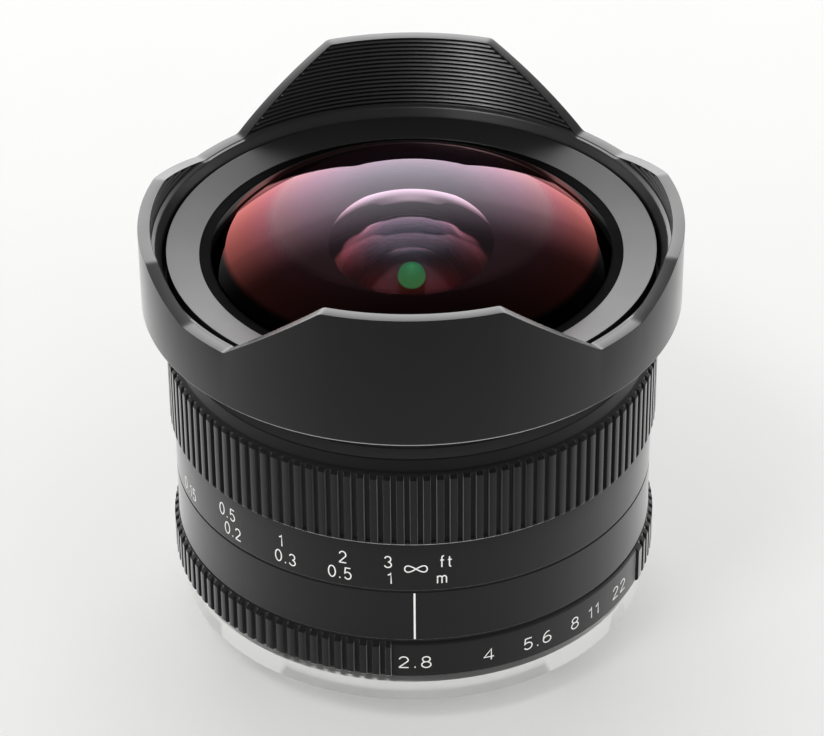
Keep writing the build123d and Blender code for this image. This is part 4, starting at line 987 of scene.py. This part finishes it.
def buildWorld(s):
    # What polished metal and glass see: a bright wall behind, a paler band round the sides,
    # dark towards the camera and overhead. Light that enters the glass also finds an opening
    # overhead. Dull surfaces are lit by a fill that is strongest near the horizon, and the
    # camera sees plain white.
    world = bpy.data.worlds.new("softStudio")
    bpy.context.scene.world = world
    world.use_nodes = True
    tree = world.node_tree
    tree.nodes.clear()
    turn = np.radians(s["turn"])
    coords = addNode(tree, "ShaderNodeTexCoord")
    parts = addNode(tree, "ShaderNodeSeparateXYZ", None, {0: (coords, "Generated")})
    backwards = (-np.sin(turn), np.cos(turn), 0)
    towards = addNode(tree, "ShaderNodeVectorMath", {"operation": "DOT_PRODUCT", 1: backwards},
                      {0: (coords, "Generated")})
    wall = addRamp(tree, [(at, value / s["peak"]) for at, value in s["back"]], (towards, "Value"))
    back = addMath(tree, "MULTIPLY", (wall, 0), s["peak"])
    low = addRange(tree, (parts, 2), *s["sideTop"], s["side"], 0.0)
    beside = addRange(tree, (towards, "Value"), *s["sideFront"])
    side = addMath(tree, "MULTIPLY", (low, 0), (beside, 0))
    room = addMath(tree, "MAXIMUM", (back, 0), (side, 0))
    top = addRange(tree, (parts, 2), *s["topFrom"], 0.0, s["top"])
    inside = addMath(tree, "MAXIMUM", (room, 0), (top, 0))
    fill = addRange(tree, (parts, 2), 0.0, 1.0, s["fillHorizon"], s["fillZenith"])
    white = addNode(tree, "ShaderNodeBackground", {"Color": (1, 1, 1, 1), "Strength": 1.0})
    seen = addChoice(tree, "Is Glossy Ray", addGlow(tree, fill), addGlow(tree, room))
    through = addChoice(tree, "Is Transmission Ray", seen, addGlow(tree, inside))
    whole = addChoice(tree, "Is Camera Ray", through, white)
    addNode(tree, "ShaderNodeOutputWorld", None, {"Surface": (whole, 0)})


buildWorld(studio)

# Directions from the lens, distances and sizes in metres, power in watts
lamps = {
    "keySoftbox": {"direction": (-0.335, -0.426, 0.841), "distance": 0.9, "size": (0.2, 0.2),
                   "power": 0.8, "glossy": True},
    "rearSoftbox": {"direction": (0.0, 0.80, 0.60), "distance": 1.0, "size": (1.2, 0.5),
                    "power": 3.2, "glossy": False}}
lampAim = Vector((0, 0, 0.03))


def buildLamp(name, s):
    # A rectangular softbox that faces the lens from that direction
    light = bpy.data.lights.new(name, "AREA")
    light.shape = "RECTANGLE"
    light.size, light.size_y = s["size"]
    light.energy = s["power"]
    lamp = bpy.data.objects.new(name, light)
    bpy.context.scene.collection.objects.link(lamp)
    direction = Vector(s["direction"]).normalized()
    lamp.location = direction * s["distance"] + lampAim
    lamp.rotation_euler = direction.to_track_quat("Z", "Y").to_euler()
    lamp.visible_glossy, lamp.visible_transmission = s["glossy"], False


for name, settings in lamps.items():
    buildLamp(name, settings)

# focalPixels and shiftPixels are in pixels of the render, clip is in metres
view = {"distance": 459.18, "elevation": 34.557, "aimHeight": 33.05, "roll": 0.512,
        "focalPixels": 3679.35, "sensor": 36.0, "shiftPixels": 0.436, "clip": (0.01, 20.0)}


def buildCamera(v):
    # The camera looks at the axis point at aimHeight from the front, elevation above level,
    # turned about its own line of sight by roll
    e, roll = np.radians(v["elevation"]), np.radians(v["roll"])
    camera = bpy.data.cameras.new("productCamera")
    camera.sensor_width = v["sensor"]
    camera.lens = v["focalPixels"] / renderWidth * v["sensor"]
    camera.shift_x = -v["shiftPixels"] / renderWidth
    camera.clip_start, camera.clip_end = v["clip"]
    holder = bpy.data.objects.new("productCamera", camera)
    bpy.context.scene.collection.objects.link(holder)
    right, up = Vector((1, 0, 0)), Vector((0, np.sin(e), np.cos(e)))
    turnedRight = right * np.cos(roll) - up * np.sin(roll)
    turnedUp = right * np.sin(roll) + up * np.cos(roll)
    back = turnedRight.cross(turnedUp)
    axes = Matrix((turnedRight, turnedUp, back)).transposed().to_4x4()
    axes.translation = (0, -v["distance"] * np.cos(e) * mm,
                        (v["aimHeight"] + v["distance"] * np.sin(e)) * mm)
    holder.matrix_world = axes
    bpy.context.scene.camera = holder


buildCamera(view)
bpy.context.scene.view_settings.view_transform = "Standard"
print("light and camera set")
